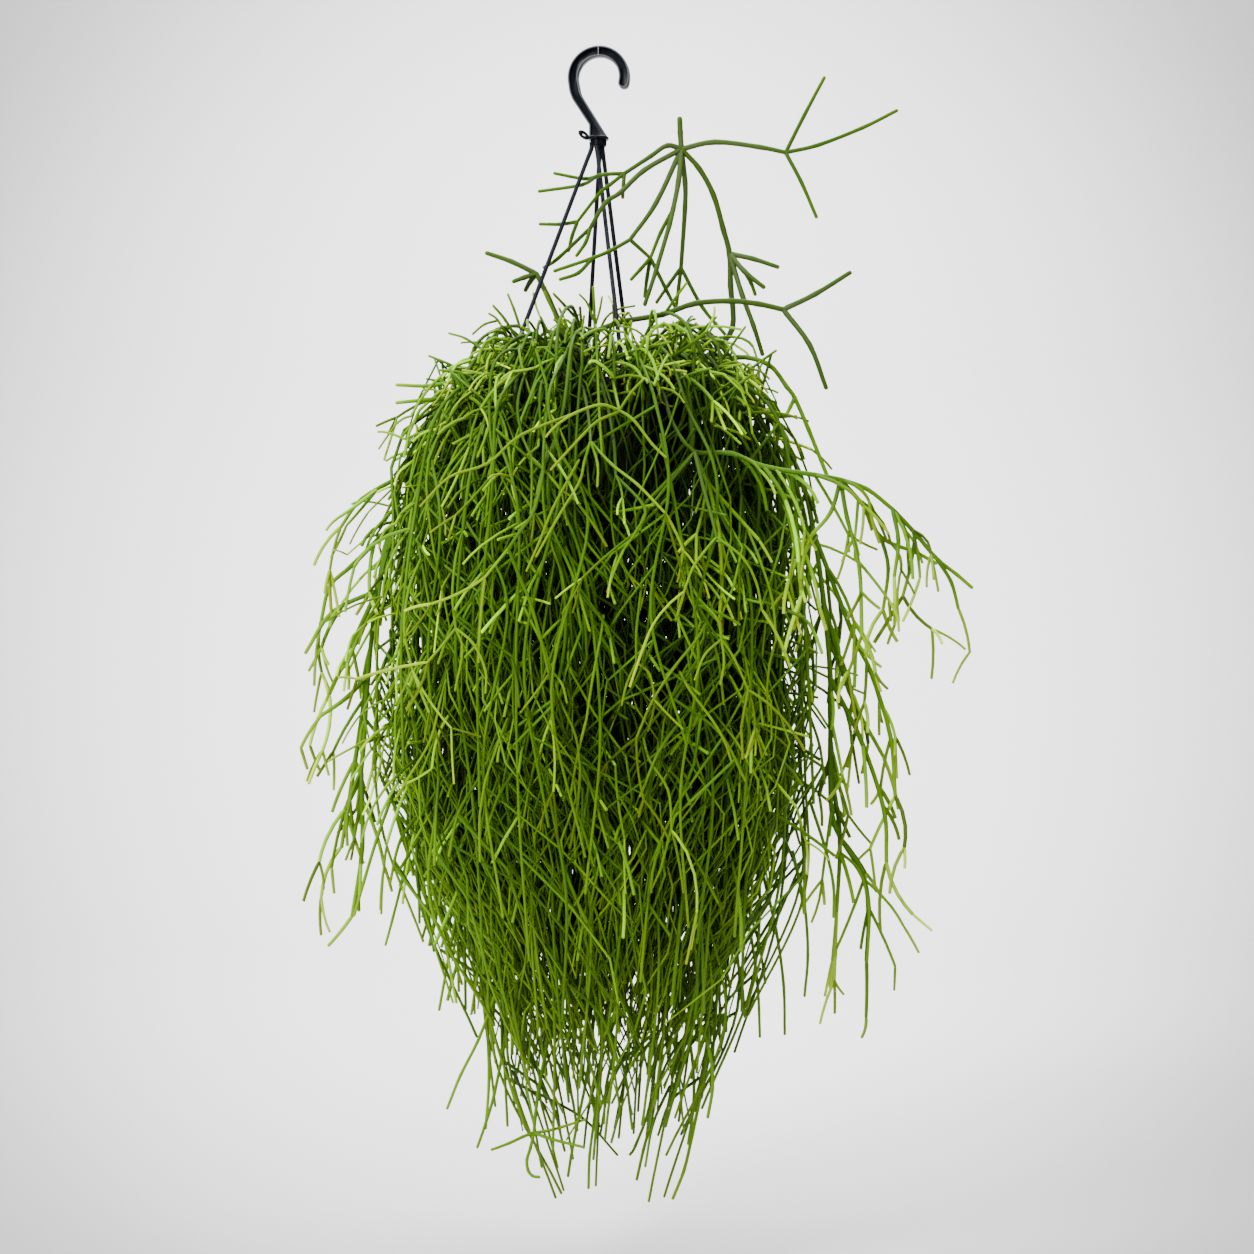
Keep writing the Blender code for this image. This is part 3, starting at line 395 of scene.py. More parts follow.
def sweep_tree():
    """Edges become curves, and a round section runs along each at its own radius."""
    tree, start, end = tree_with(
        "round_sweep", (("Sides", "NodeSocketInt"), ("Finish", "NodeSocketMaterial"))
    )
    radius = node(tree, "GeometryNodeInputNamedAttribute", data_type="FLOAT", Name="thickness")
    curve = tree.nodes.new("GeometryNodeMeshToCurve")
    sized = tree.nodes.new("GeometryNodeSetCurveRadius")
    ring = tree.nodes.new("GeometryNodeCurvePrimitiveCircle")
    ring.inputs["Radius"].default_value = 1.0
    swept = tree.nodes.new("GeometryNodeCurveToMesh")
    swept.inputs["Fill Caps"].default_value = True
    smooth = tree.nodes.new("GeometryNodeSetShadeSmooth")
    real = tree.nodes.new("GeometryNodeRealizeInstances")
    coat = tree.nodes.new("GeometryNodeSetMaterial")
    chained(tree, start, curve, sized, swept, smooth, real, coat, end)
    link = tree.links.new
    link(radius.outputs["Attribute"], swept.inputs["Scale"])
    link(radius.outputs["Attribute"], sized.inputs["Radius"])
    link(start.outputs["Sides"], ring.inputs["Resolution"])
    link(ring.outputs["Curve"], swept.inputs["Profile Curve"])
    link(start.outputs["Finish"], coat.inputs["Material"])
    return tree


def grown(name, mesh, tree, **values):
    """The mesh as the tree leaves it, on a new object."""
    piece = placed(name, mesh)
    step = piece.modifiers.new("grow", "NODES")
    step.node_group = tree
    for item in tree.interface.items_tree:
        if item.item_type == "SOCKET" and item.in_out == "INPUT" and item.name in values:
            step[item.identifier] = values[item.name]
    return applied(piece)


def line_mesh(name, rows):
    """Rows of points as open runs of edges; each row is (points, {attribute: values})."""
    mesh = bpy.data.meshes.new(name)
    counts = [len(points) for points, _ in rows]
    starts = np.cumsum([0] + counts)
    firsts = np.concatenate([np.arange(a, a + n - 1) for a, n in zip(starts, counts)])
    mesh.vertices.add(int(starts[-1]))
    mesh.vertices.foreach_set("co", np.concatenate([points for points, _ in rows]).astype(np.float32).ravel())
    mesh.edges.add(len(firsts))
    mesh.edges.foreach_set("vertices", np.stack([firsts, firsts + 1], 1).astype(np.int32).ravel())
    for label in rows[0][1]:
        values = np.concatenate([extra[label] for _, extra in rows]).astype(np.float32)
        mesh.attributes.new(label, "FLOAT", "POINT").data.foreach_set("value", values)
    mesh.update()
    return mesh


def polar(radius, angle):
    """Across and back, from the distance to the pot's axis and the angle round it in radians."""
    return radius * math.cos(angle), radius * math.sin(angle)


def round_pot(radius, degrees, z):
    return *polar(radius, math.radians(degrees)), z


def strand_path(degrees, x, y):
    """A cord's middle: straight out of its socket, then bending to its slot in the rim."""
    seat = np.array(round_pot(STRAND_CIRCLE, degrees, RIM_TOP - POT_WALL / 2))
    mouth = np.array((COLLAR_X + x * MM, y * MM, SOCKET_BOTTOM - 2 * MM))
    top = mouth + np.array((0.0, 0.0, 5.5 * MM))
    heading = (seat - mouth) / np.linalg.norm(seat - mouth)
    bend = [mouth + heading * share for share in (0.0, 0.012, 0.03, 0.09, 0.15)]
    return np.vstack([eased([top, *bend, seat], 4), seat + heading * 2 * MM])


def make_strands(tree, finish):
    for name, degrees, x, y in STRANDS:
        path = strand_path(degrees, x, y)
        down = np.clip((path[0, 2] - path[:, 2]) / 0.016, 0.0, 1.0)
        thickness = STRAND_ROOT_RADIUS + (STRAND_RADIUS - STRAND_ROOT_RADIUS) * down**0.7
        cord = grown(f"{name}_tube", line_mesh(name, [(path, {"thickness": thickness})]), tree, Sides=14)
        middle = round_pot(STRAND_CIRCLE, degrees, RIM_TOP - POT_WALL - GAP - TOGGLE_SIZE[2] / 2)
        toggle = small_bar(f"{name}_toggle", TOGGLE_SIZE, middle, degrees, 0.5 * MM)
        piece = joined(f"{name}_cord", [cord, toggle])
        shaded_round(finished(piece, [name], finish), 50.0)


round_sweep = sweep_tree()
make_strands(round_sweep, black_plastic("strand_black_plastic", (0.006, 0.007, 0.010), 0.3, 0.45, 600.0))


# Pot: a thin-walled black nursery pot, injection moulded, with a turned-down rim, drain
# holes in its floor and a slot in the rim for each strand. Foliage hides nearly all of it.
POT_HEIGHT = 150.0 * MM
POT_TOP_RADIUS = 92.5 * MM
POT_FOOT_RADIUS = 69.0 * MM
RIM_RADIUS = 100.5 * MM
RIM_DROP = 10.0 * MM
RIM_ROUND = 0.8 * MM
SLOT_SIZE = 4.8 * MM
DRAINS = 6
DRAIN_RADIUS = 5.0 * MM
DRAIN_CIRCLE = 42.0 * MM


def wall_radius(z, outside=True):
    share = (RIM_TOP - z) / POT_HEIGHT
    radius = POT_TOP_RADIUS + (POT_FOOT_RADIUS - POT_TOP_RADIUS) * share
    return radius if outside else radius - POT_WALL


def pot_profile():
    """From the middle of the floor up the inside, over the rim and down the outside."""
    foot = RIM_TOP - POT_HEIGHT
    floor = foot + POT_WALL
    lip = RIM_RADIUS - RIM_ROUND
    corners = [
        (0.0, floor),
        (wall_radius(floor, False) - 3 * MM, floor),
        (wall_radius(floor, False), floor + 3 * MM),
        (wall_radius(RIM_TOP, False) - 0.2 * MM, RIM_TOP - 1.5 * MM),
        (wall_radius(RIM_TOP, False) + RIM_ROUND, RIM_TOP),
        (lip, RIM_TOP),
        (lip + 0.7 * RIM_ROUND, RIM_TOP - 0.3 * RIM_ROUND),
        (RIM_RADIUS, RIM_TOP - RIM_ROUND),
        (RIM_RADIUS, RIM_TOP - RIM_DROP + 0.5 * MM),
        (RIM_RADIUS - 0.6 * MM, RIM_TOP - RIM_DROP),
        (RIM_RADIUS - POT_WALL, RIM_TOP - RIM_DROP),
        (RIM_RADIUS - POT_WALL, RIM_TOP - POT_WALL),
        (wall_radius(RIM_TOP - POT_WALL), RIM_TOP - POT_WALL),
        (wall_radius(foot + 2 * MM), foot + 2 * MM),
        (wall_radius(foot) - 1.2 * MM, foot),
        (0.0, foot),
    ]
    return [(x / MM, z / MM) for x, z in corners]


def drill(name, radius, x, y, low, high):
    shape = bmesh.new()
    bmesh.ops.create_cone(shape, cap_ends=True, segments=32, radius1=radius, radius2=radius, depth=high - low)
    mesh = mesh_of(shape, name)
    mesh.transform(Matrix.Translation((x, y, (low + high) / 2)))
    return bpy.data.objects.new(name, mesh)


def make_pot(finish):
    pot = applied(turned("nursery_pot", pot_profile(), 96))
    welded(pot.data)
    cutters = bpy.data.collections.new("pot_cutters")
    bpy.context.scene.collection.children.link(cutters)
    foot = RIM_TOP - POT_HEIGHT
    for name, degrees, _, _ in STRANDS:
        place = round_pot(STRAND_CIRCLE, degrees, RIM_TOP - POT_WALL / 2)
        slot = small_bar(f"slot_{name}", (SLOT_SIZE, SLOT_SIZE, 3 * POT_WALL), place, degrees, 0.2 * MM)
        bpy.context.scene.collection.objects.unlink(slot)
        cutters.objects.link(slot)
    for i in range(DRAINS):
        x, y = polar(DRAIN_CIRCLE, 2 * math.pi * i / DRAINS)
        cutters.objects.link(drill(f"drain_{i}", DRAIN_RADIUS, x, y, foot - MM, foot + 2 * POT_WALL))
    cut = pot.modifiers.new("holes", "BOOLEAN")
    cut.operation = "DIFFERENCE"
    cut.operand_type = "COLLECTION"
    cut.collection = cutters
    applied(pot)
    for cutter in list(cutters.objects):
        bpy.data.objects.remove(cutter)
    bpy.data.collections.remove(cutters)
    shaded_round(finished(pot, ["pot"], finish))


make_pot(black_plastic("pot_black_plastic", (0.005, 0.005, 0.005), 0.6, 0.8, 500.0))


# Soil: a dark, open potting mix of bark and peat with a little perlite. Its top is raised
# in low mounds, and a tree scatters crumbs and perlite grains over it.
SOIL_TOP = RIM_TOP - 18.0 * MM
SOIL_RINGS = 26
SOIL_SPOKES = 72
MOUND = 3.0 * MM
MIX_COLOURS = ((0.30, (0.008, 0.005, 0.003)), (0.55, (0.026, 0.016, 0.010)), (0.80, (0.060, 0.038, 0.022)))
PERLITE_COLOURS = ((0.3, (0.45, 0.42, 0.36)), (0.7, (0.66, 0.64, 0.59)))


def soil_filling():
    """A disc of rings with its sides and floor, kept just inside the pot's wall."""
    bottom = RIM_TOP - POT_HEIGHT + POT_WALL + GAP
    top_edge = wall_radius(SOIL_TOP, False) - 2 * GAP
    shape = bmesh.new()
    middle = shape.verts.new((0.0, 0.0, SOIL_TOP))
    last = None
    radii = [top_edge * (i + 1) / SOIL_RINGS for i in range(SOIL_RINGS)]
    radii.append(wall_radius(bottom, False) - 2 * GAP)
    for i, radius in enumerate(radii):
        ring = []
        for k in range(SOIL_SPOKES):
            x, y = polar(radius, 2 * math.pi * (k + 0.5 * (i % 2)) / SOIL_SPOKES)
            inside = 1.0 - (radius / top_edge) ** 6
            low = noise.fractal(Vector((x, y, 0.3)) * 60.0, 0.6, 2.2, 4) * MOUND * inside
            z = SOIL_TOP + min(low, 1.5 * MM) if i < SOIL_RINGS else bottom
            ring.append(shape.verts.new((x, y, z)))
        for k in range(SOIL_SPOKES):
            after = (k + 1) % SOIL_SPOKES
            if last is None:
                shape.faces.new((middle, ring[k], ring[after]))
            else:
                shape.faces.new((last[k], ring[k], ring[after], last[after]))
        last = ring
    shape.faces.new(reversed(last))
    bmesh.ops.recalc_face_normals(shape, faces=shape.faces)
    return mesh_of(shape, "potting_mix")


def crumb(name, finish):
    """One crumb of the mix: a small angular grain, a few dozen faces."""
    shape = bmesh.new()
    bmesh.ops.create_icosphere(shape, subdivisions=1, radius=1.0)
    for vert in shape.verts:
        vert.co *= 1.0 + 0.35 * noise.noise(vert.co * 2.3)
    bmesh.ops.scale(shape, vec=(1.0, 0.75, 0.55), verts=shape.verts)
    mesh = mesh_of(shape, name)
    mesh.materials.append(finish)
    return placed(name, mesh)


def crumb_tree():
    """Grains where the mix's faces look up; the mix itself is left out."""
    inputs = (
        ("Crumb", "NodeSocketObject"), ("Density", "NodeSocketFloat"), ("Smallest", "NodeSocketFloat"),
        ("Largest", "NodeSocketFloat"), ("Seed", "NodeSocketInt"), ("Finish", "NodeSocketMaterial"),
    )
    tree, start, end = tree_with("soil_crumbs", inputs)
    facing = tree.nodes.new("GeometryNodeInputNormal")
    split = tree.nodes.new("ShaderNodeSeparateXYZ")
    up = node(tree, "ShaderNodeMath", operation="GREATER_THAN")
    up.inputs[1].default_value = 0.5
    points = tree.nodes.new("GeometryNodeDistributePointsOnFaces")
    size = node(tree, "FunctionNodeRandomValue", data_type="FLOAT")
    turn = node(tree, "FunctionNodeRandomValue", data_type="FLOAT_VECTOR")
    turn.inputs["Max"].default_value = (6.3, 6.3, 6.3)
    grain = tree.nodes.new("GeometryNodeObjectInfo")
    many = tree.nodes.new("GeometryNodeInstanceOnPoints")
    real = tree.nodes.new("GeometryNodeRealizeInstances")
    coat = tree.nodes.new("GeometryNodeSetMaterial")
    chained(tree, start, points, many, real, coat, end)
    link = tree.links.new
    link(facing.outputs["Normal"], split.inputs[0])
    link(split.outputs["Z"], up.inputs[0])
    link(up.outputs[0], points.inputs["Selection"])
    link(start.outputs["Density"], points.inputs["Density"])
    link(start.outputs["Seed"], points.inputs["Seed"])
    link(start.outputs["Smallest"], size.inputs[2])
    link(start.outputs["Largest"], size.inputs[3])
    link(size.outputs[1], many.inputs["Scale"])
    link(turn.outputs["Value"], many.inputs["Rotation"])
    link(start.outputs["Crumb"], grain.inputs["Object"])
    link(grain.outputs["Geometry"], many.inputs["Instance"])
    link(start.outputs["Finish"], coat.inputs["Material"])
    return tree


def grainy(name, colours, detail, colour_scale, grain_scale, roughness, height):
    """A rough mineral or peaty finish: mottled colour and a coarse grain."""
    finish, tree, shader = shader_of(name)
    mottle = object_noise(tree, colour_scale, detail)
    tree.links.new(ramp(tree, mottle, colours), shader.inputs["Base Color"])
    shader.inputs["Roughness"].default_value = roughness
    bumped(tree, shader, object_noise(tree, grain_scale, detail), height, 1.0)
    return finish


def make_soil():
    mix = grainy("potting_mix", MIX_COLOURS, 6.0, 320.0, 700.0, 0.9, 0.6 * MM)
    perlite = grainy("perlite", PERLITE_COLOURS, 4.0, 900.0, 2600.0, 0.8, 0.2 * MM)
    filling = soil_filling()
    tree = crumb_tree()
    grain = crumb("crumb", mix)
    mixed = dict(Crumb=grain, Density=26000.0, Smallest=0.8 * MM, Largest=2.6 * MM, Seed=3, Finish=mix)
    light = dict(Crumb=grain, Density=1500.0, Smallest=0.9 * MM, Largest=1.9 * MM, Seed=8, Finish=perlite)
    crumbs = grown("soil_crumbs", filling.copy(), tree, **mixed)
    grains = grown("perlite_grains", filling.copy(), tree, **light)
    bpy.data.objects.remove(grain)
    body = joined("soil_filling", [placed("soil_bed", filling), crumbs])
    finished(body, ["soil"], mix)
    body.data.shade_smooth()
    finished(grains, [], perlite)


make_soil()


# Stems: each is one living cactus stem with its forks, smooth and round, grey-green where
# it is old and yellow-green at its tips. The long lines are laid by the same seeded rule
# as the solids that they stand for, and are then eased into curves.
STEM_RADIUS = 2.6 * MM
TWIG_RADIUS = 2.1 * MM
TIP_RADIUS = 1.7 * MM
NECK_RADIUS = 1.2 * MM
OUTLINE = (
    # depth below the hook, reach to its left and to its right
    (0.240, 0.100, 0.120),
    (0.300, 0.160, 0.165),
    (0.350, 0.182, 0.185),
    (0.410, 0.205, 0.200),
    (0.490, 0.222, 0.210),
    (0.580, 0.225, 0.215),
    (0.670, 0.218, 0.215),
    (0.710, 0.212, 0.210),
    (0.760, 0.196, 0.195),
    (0.800, 0.162, 0.172),
    (0.850, 0.130, 0.150),
    (0.900, 0.114, 0.122),
    (0.940, 0.102, 0.098),
    (0.985, 0.082, 0.080),
    (1.025, 0.040, 0.060),
)
OUTLINE_DEPTHS, OUTLINE_LEFT, OUTLINE_RIGHT = zip(*OUTLINE)
DEEPEST = OUTLINE_DEPTHS[-1]
FRONT_SHARE = 0.92
TRAILING_SEED = 41
RINGS = (
    # count, soil radius, hanging radius, height of the arch, first azimuth in degrees
    (12, 0.034, 0.120, 0.052, 9.0),
    (14, 0.055, 0.165, 0.036, 22.0),
    (14, 0.076, 0.206, 0.022, 3.0),
)
FORKS = ((0.25, -10.0, -0.030), (0.38, 9.0, 0.012))
ARCH_COURSE = ((0.2, 0.55), (0.55, 1.0), (1.0, 0.62))
ARCH_SHOULDER = 28 * MM
RIM_CLEARANCE = 14 * MM
TWIG_PLACES = ((0, 0.19), (1, 0.86), (0, 0.90), (2, 0.62), (0, 0.55))
NODE_SPACING = 0.12
STEM_CLEARANCE = 0.7 * MM
ROOT_SPACING = 9.6 * MM
HOLE_DEPTH = 14.0 * MM
HANG_SHARE = 0.94
SWAY = 6 * MM
TRIES = 40

# Stems that stand out above the rim or beside it, in mm: a main line from the
# soil, then twigs, each given by its own points
FREE_STEMS = {
    "tall_crown_stem": (
        (
            (58, 26, -329.7), (58, 26, -313), (74, 27, -284), (100, 27, -264), (120, 22, -242),
            (118, 12, -204), (117, 10, -175.5), (111, 4, -154), (102, -4, -125), (89, -8, -102),
            (73, -10, -85),
        ),
        (
            ((73, -10, -85), (72, -10, -70), (71.5, -10, -58)),
            ((73, -10, -85), (103, -12, -79), (143, -14, -84), (166, -15, -89)),
            ((166, -15, -89), (183, -12, -55), (201, -10, -21)),
            ((166, -15, -89), (195, -18, -83), (235, -22, -68), (264, -26, -54)),
            ((166, -15, -89), (180, -20, -117), (193, -22, -148)),
            ((73, -10, -85), (60, -16, -83), (45, -22, -94), (22, -32, -111)),
            ((22, -32, -111), (0, -31, -112.5), (-16, 0, -115), (-55, 10, -119)),
            ((0, -31, -112.5), (-14, 3, -109), (-41, 6, -103.5)),
            ((22, -32, -111), (9, -36, -122), (0, -34, -129), (-20, -16, -151)),
            ((-20, -16, -151), (-35, -3, -151), (-54, 2, -150)),
            ((-20, -16, -151), (-25, -13, -164), (-28, -10, -176)),
            ((22, -32, -111), (21, -34, -122), (20.5, -36, -133)),
            ((73, -10, -85), (40, -28, -107), (19, -40, -129), (5, -46, -140), (-8, -42, -161)),
            ((-8, -42, -161), (-38, -14, -184), (-50, -11, -191)),
            ((-8, -42, -161), (-12, -44, -174), (-20, -46, -186)),
            ((73, -10, -85), (50, -24, -136), (27, -46, -172)),
            ((27, -46, -172), (10, -61, -184), (-6, -63, -191), (-39, -62, -202)),
            ((-6, -63, -191), (-18, -64, -204), (-34, -66, -210)),
            ((27, -46, -172), (45, -38, -187)),
            ((73, -10, -85), (70, -22, -117), (65, -30, -143), (62, -36, -157), (50, -48, -199),
             (40, -54, -230)),
            ((65, -30, -143), (54, -34, -164), (45, -38, -187)),
            ((45, -38, -187), (36, -44, -198), (28, -46, -207)),
            ((45, -38, -187), (42, -34, -204), (40, -32, -220)),
            ((45, -38, -187), (59, -32, -214), (67, -30, -229)),
            ((73, -10, -85), (76.5, -4, -114), (76.5, 0, -136), (73, 4, -189)),
            ((73, 4, -189), (62, 5, -204), (51, 6, -220)),
            ((73, 4, -189), (71, 7, -206), (69, 9, -222)),
            ((73, 4, -189), (92, 0, -225), (112, -6, -250)),
            ((117, 10, -175.5), (138, 4, -181), (160, 0, -189)),
            ((117, 10, -175.5), (130, 0, -193), (147, -6, -208)),
            ((130, 0, -193), (136, 2, -203), (140, 5, -213)),
            ((117, 10, -175.5), (128, 1, -214), (138, -2, -242), (146, -4, -268)),
        ),
    ),
    "left_crown_stem": (
        (
            (-24, 4, -329.7), (-24, 4, -313), (-24, 2, -290), (-29, -2, -258), (-46, -5, -218),
            (-57, -6, -196),
        ),
        (
            ((-57, -6, -196), (-79, -12, -186), (-101, -16, -179)),
            ((-57, -6, -196), (-68, -10, -200), (-77, -14, -204)),
            ((-57, -6, -196), (-63, -3, -203), (-67, -1, -210)),
        ),
    ),
    "low_crown_stem": (
        (
            (-20, -34, -329.7), (-20, -34, -313), (-24, -48, -288), (-31, -62, -266), (-8, -58, -256),
            (19, -50, -245), (55, -46, -238), (84, -44, -228), (116, -42, -225.5), (140, -42, -228),
            (162, -42, -233),
        ),
        (
            ((162, -42, -233), (190, -46, -220), (220, -52, -202)),
            ((162, -42, -233), (185, -48, -265), (199, -52, -303)),
            ((-31, -62, -266), (-62, -88, -282), (-71, -106, -306), (-72, -114, -350), (-76, -120, -392)),
            ((-31, -62, -266), (-15, -88, -276), (-4, -110, -300), (6, -120, -345), (2, -124, -390)),
        ),
    ),
    "right_arching_stem": (
        (
            (40, -44, -329.7), (40, -44, -313), (50, -62, -288), (64, -90, -286), (76, -104, -312),
            (80, -110, -350), (82, -112, -364), (113, -112, -365), (141, -110, -376), (185, -106, -383),
            (207, -104, -387), (230, -102, -395), (252, -100, -412),
        ),
        (
            ((252, -100, -412), (272, -98, -433), (290, -96, -454), (308, -94, -468), (321, -92, -479)),
            ((290, -96, -454), (302, -100, -474), (308, -102, -497)),
            ((207, -104, -387), (230, -96, -412), (243, -92, -436), (274, -88, -449), (291, -86, -458)),
            ((243, -92, -436), (250, -84, -462), (246, -80, -498)),
            ((207, -104, -387), (198, -112, -415), (182, -116, -434)),
            ((252, -100, -412), (256, -108, -440), (252, -112, -470)),
            ((272, -98, -433), (268, -92, -462), (262, -90, -486)),
            ((207, -104, -387), (212, -110, -420), (222, -114, -462), (224, -116, -520)),
            ((141, -110, -376), (158, -120, -404), (168, -124, -440), (172, -126, -486)),
            ((82, -112, -364), (60, -124, -388), (38, -132, -410)),
            ((82, -112, -364), (94, -122, -396), (102, -128, -430)),
        ),
    ),
    "right_drooping_stem": (
        (
            (72, -14, -329.7), (72, -14, -313), (90, -18, -284), (122, -24, -273), (150, -28, -280),
            (166, -30, -300), (173, -31, -310), (185, -34, -338), (201, -38, -379),
        ),
        (((173, -31, -310), (169, -34, -318), (165, -36, -326)),),
    ),
    "left_rim_stem": (
        (
            (-73, -4, -329.7), (-73, -4, -313), (-90, -8, -288), (-112, -14, -290), (-129, -18, -308),
            (-135, -22, -340), (-137, -26, -380),
        ),
        (
            ((-112, -14, -290), (-150, -22, -298), (-180, -28, -298)),
            ((-129, -18, -308), (-156, -24, -311), (-180, -30, -314)),
        ),
    ),
    "left_flank_stem": (
        (
            (-71, 14, -329.7), (-71, 14, -313), (-92, 16, -284), (-122, 16, -292), (-152, 12, -326),
            (-178, 4, -376), (-186, 0, -420), (-200, -4, -480), (-208, -6, -556), (-214, -8, -640),
            (-228, -10, -676),
        ),
        (
            ((-178, 4, -376), (-214, -4, -398), (-232, -8, -423)),
            ((-186, 0, -420), (-222, 4, -456), (-244, 8, -476), (-252, 10, -506)),
            ((-200, -4, -480), (-240, -10, -500), (-263, -14, -536)),
            ((-200, -4, -480), (-226, 4, -534), (-245, 10, -574)),
            ((-208, -6, -556), (-226, -16, -576), (-248, -24, -592)),
            ((-208, -6, -556), (-222, 6, -640), (-234, 12, -712)),
            ((-214, -8, -640), (-212, -18, -710), (-220, -26, -770)),
        ),
    ),
    "right_flank_stem": (
        (
            (70, 10, -329.7), (70, 10, -313), (92, 12, -284), (122, 12, -290), (152, 8, -322),
            (180, 0, -376), (192, -8, -430), (200, -14, -490), (206, -16, -560), (206, -14, -640),
            (210, -10, -690), (234, -8, -732), (241, -8, -765), (239, -8, -812),
        ),
        (
            ((192, -8, -430), (226, -20, -520), (241, -26, -553), (258, -30, -610), (262, -32, -663)),
            ((200, -14, -490), (224, -4, -571), (255, 4, -629)),
            ((206, -16, -560), (232, -26, -613), (252, -32, -675), (254, -34, -721)),
            ((206, -14, -640), (216, 2, -700), (214, 10, -770)),
        ),
    ),
}


def reach(z, azimuth):
    """How far the plant spreads from the hook's axis at a height, in one direction."""
    left, right = (np.interp(-z, OUTLINE_DEPTHS, side) for side in (OUTLINE_LEFT, OUTLINE_RIGHT))
    across = np.where(np.cos(azimuth) > 0, right, left)
    deep = FRONT_SHARE * (left + right) / 2
    return 1.0 / np.hypot(np.cos(azimuth) / across, np.sin(azimuth) / deep)


class Room:
    """What has been placed so far, as straight spans with a radius and an owner."""

    def __init__(self):
        self.starts = np.zeros((0, 3))
        self.ends = np.zeros((0, 3))
        self.radii = np.zeros(0)
        self.owners = np.zeros(0, int)

    def add(self, points, radii, owner):
        points = np.asarray(points, float)
        spans = len(points) - 1
        self.starts = np.vstack([self.starts, points[:-1]])
        self.ends = np.vstack([self.ends, points[1:]])
        self.radii = np.append(self.radii, np.maximum(radii[:-1], radii[1:]))
        self.owners = np.append(self.owners, np.full(spans, owner))

    def is_free(self, points, radii, owner):
        """Whether a line of spans stays clear of every other owner's spans."""
        points, radii = np.asarray(points, float), np.asarray(radii, float)
        other = self.owners != owner
        a, b = points[:-1, None], points[1:, None]
        c, d = self.starts[None, other], self.ends[None, other]
        first, second, apart = b - a, d - c, a - c
        aa = (first**2).sum(-1)
        ee = (second**2).sum(-1)
        ff = (second * apart).sum(-1)
        cc = (first * apart).sum(-1)
        bb = (first * second).sum(-1)
        across = np.maximum(aa * ee - bb * bb, 1e-18)
        s = np.clip((bb * ff - cc * ee) / across, 0.0, 1.0)
        t = np.clip((bb * s + ff) / ee, 0.0, 1.0)
        s = np.clip((bb * t - cc) / aa, 0.0, 1.0)
        nearest = np.linalg.norm(apart + s[..., None] * first - t[..., None] * second, axis=-1)
        need = np.maximum(radii[:-1], radii[1:])[:, None] + self.radii[other][None] + STEM_CLEARANCE
        return bool((nearest > need).all())


def outside_pot(points, margin):
    """Whether every point keeps a margin to the pot, above it or around it."""
    around = np.hypot(points[:, 0], points[:, 1]) > RIM_RADIUS + margin
    above = points[:, 2] > RIM_TOP + margin
    below = points[:, 2] < RIM_TOP - POT_HEIGHT - margin
    return bool((around | above | below).all())


def drooping(start, heading, length, droop, spans):
    """A twig that leaves along heading and turns down under its own weight."""
    t = np.linspace(0.0, 1.0, spans + 1)[:, None]
    down = np.array((0.0, 0.0, -1.0))
    return start + length * (t * heading + 0.5 * droop * t**2 * (down - heading))


def hanging(azimuth, hang, top, depth, chance):
    """Points down a trailing stretch, which sways a little inside the outline."""
    phase, swing = chance.uniform(0.0, 2 * math.pi), chance.uniform(0.4, 1.0)
    points = []
    for z in np.linspace(top, -depth, max(2, round((depth + top) / NODE_SPACING)) + 1):
        beside_pot = z > RIM_TOP - POT_HEIGHT - 20 * MM
        radius = max(hang, RIM_RADIUS + RIM_CLEARANCE) if beside_pot else hang
        radius = min(radius, HANG_SHARE * reach(z, azimuth))
        radius += swing * SWAY * math.sin(1.7 * phase + 31.0 * z)
        turn = azimuth + swing * 0.09 * math.sin(phase + 26.0 * z)
        points.append((*polar(radius, turn), z))
    return points


def hanging_depth(azimuth, hang, chance):
    """How low a stem trails: to where the outline closes in on it, or a little past."""
    depth = 0.6
    while depth < DEEPEST and 0.97 * reach(-depth, azimuth) > hang:
        depth += 0.01
    return min(depth + chance.uniform(-0.03, 0.09), DEEPEST)


def trailing_axis(azimuth, root, hang, arch, chance):
    """The middle line of one trailing stem, from its hole in the soil to its tip."""
    beyond = RIM_RADIUS + RIM_CLEARANCE
    over = [(root + share * (beyond - root), RIM_TOP + rise * arch) for share, rise in ARCH_COURSE]
    stations = [
        (root, SOIL_TOP - HOLE_DEPTH + GAP),
        (root, SOIL_TOP + 3 * MM),
        *over,
        ((hang + beyond) / 2, RIM_TOP - ARCH_SHOULDER),
    ]
    points = [(*polar(r, azimuth), z) for r, z in stations]
    depth = hanging_depth(azimuth, hang, chance)
    return np.array(points + hanging(azimuth, hang, RIM_TOP - 0.1, depth, chance))


def fork_line(main, share, turn, change, chance):
    """A second trailing line that leaves a stem beside the pot and hangs next to it."""
    start, _ = along(main, share)
    azimuth = math.atan2(start[1], start[0]) + turn
    hang = max(math.hypot(start[0], start[1]) + change, 0.05)
    depth = hanging_depth(azimuth, hang, chance)
    return np.array([tuple(start)] + hanging(azimuth, hang, start[2] - 0.07, depth, chance))


def along(points, share):
    """The place and heading at a share of a line's length."""
    lengths = np.linalg.norm(np.diff(points, axis=0), axis=1)
    ends = np.append(0.0, np.cumsum(lengths))
    at = share * ends[-1]
    i = min(int(np.searchsorted(ends, at, side="right")) - 1, len(lengths) - 1)
    heading = (points[i + 1] - points[i]) / lengths[i]
    return points[i] + heading * (at - ends[i]), heading


def spread(heading, angle, turn):
    """The heading tilted by an angle, towards a side given by a turn about it."""
    side = np.cross(heading, (0.31, 0.17, 0.93))
    side /= np.linalg.norm(side)
    other = np.cross(heading, side)
    across = side * math.cos(turn) + other * math.sin(turn)
    return heading * math.cos(angle) + across * math.sin(angle)


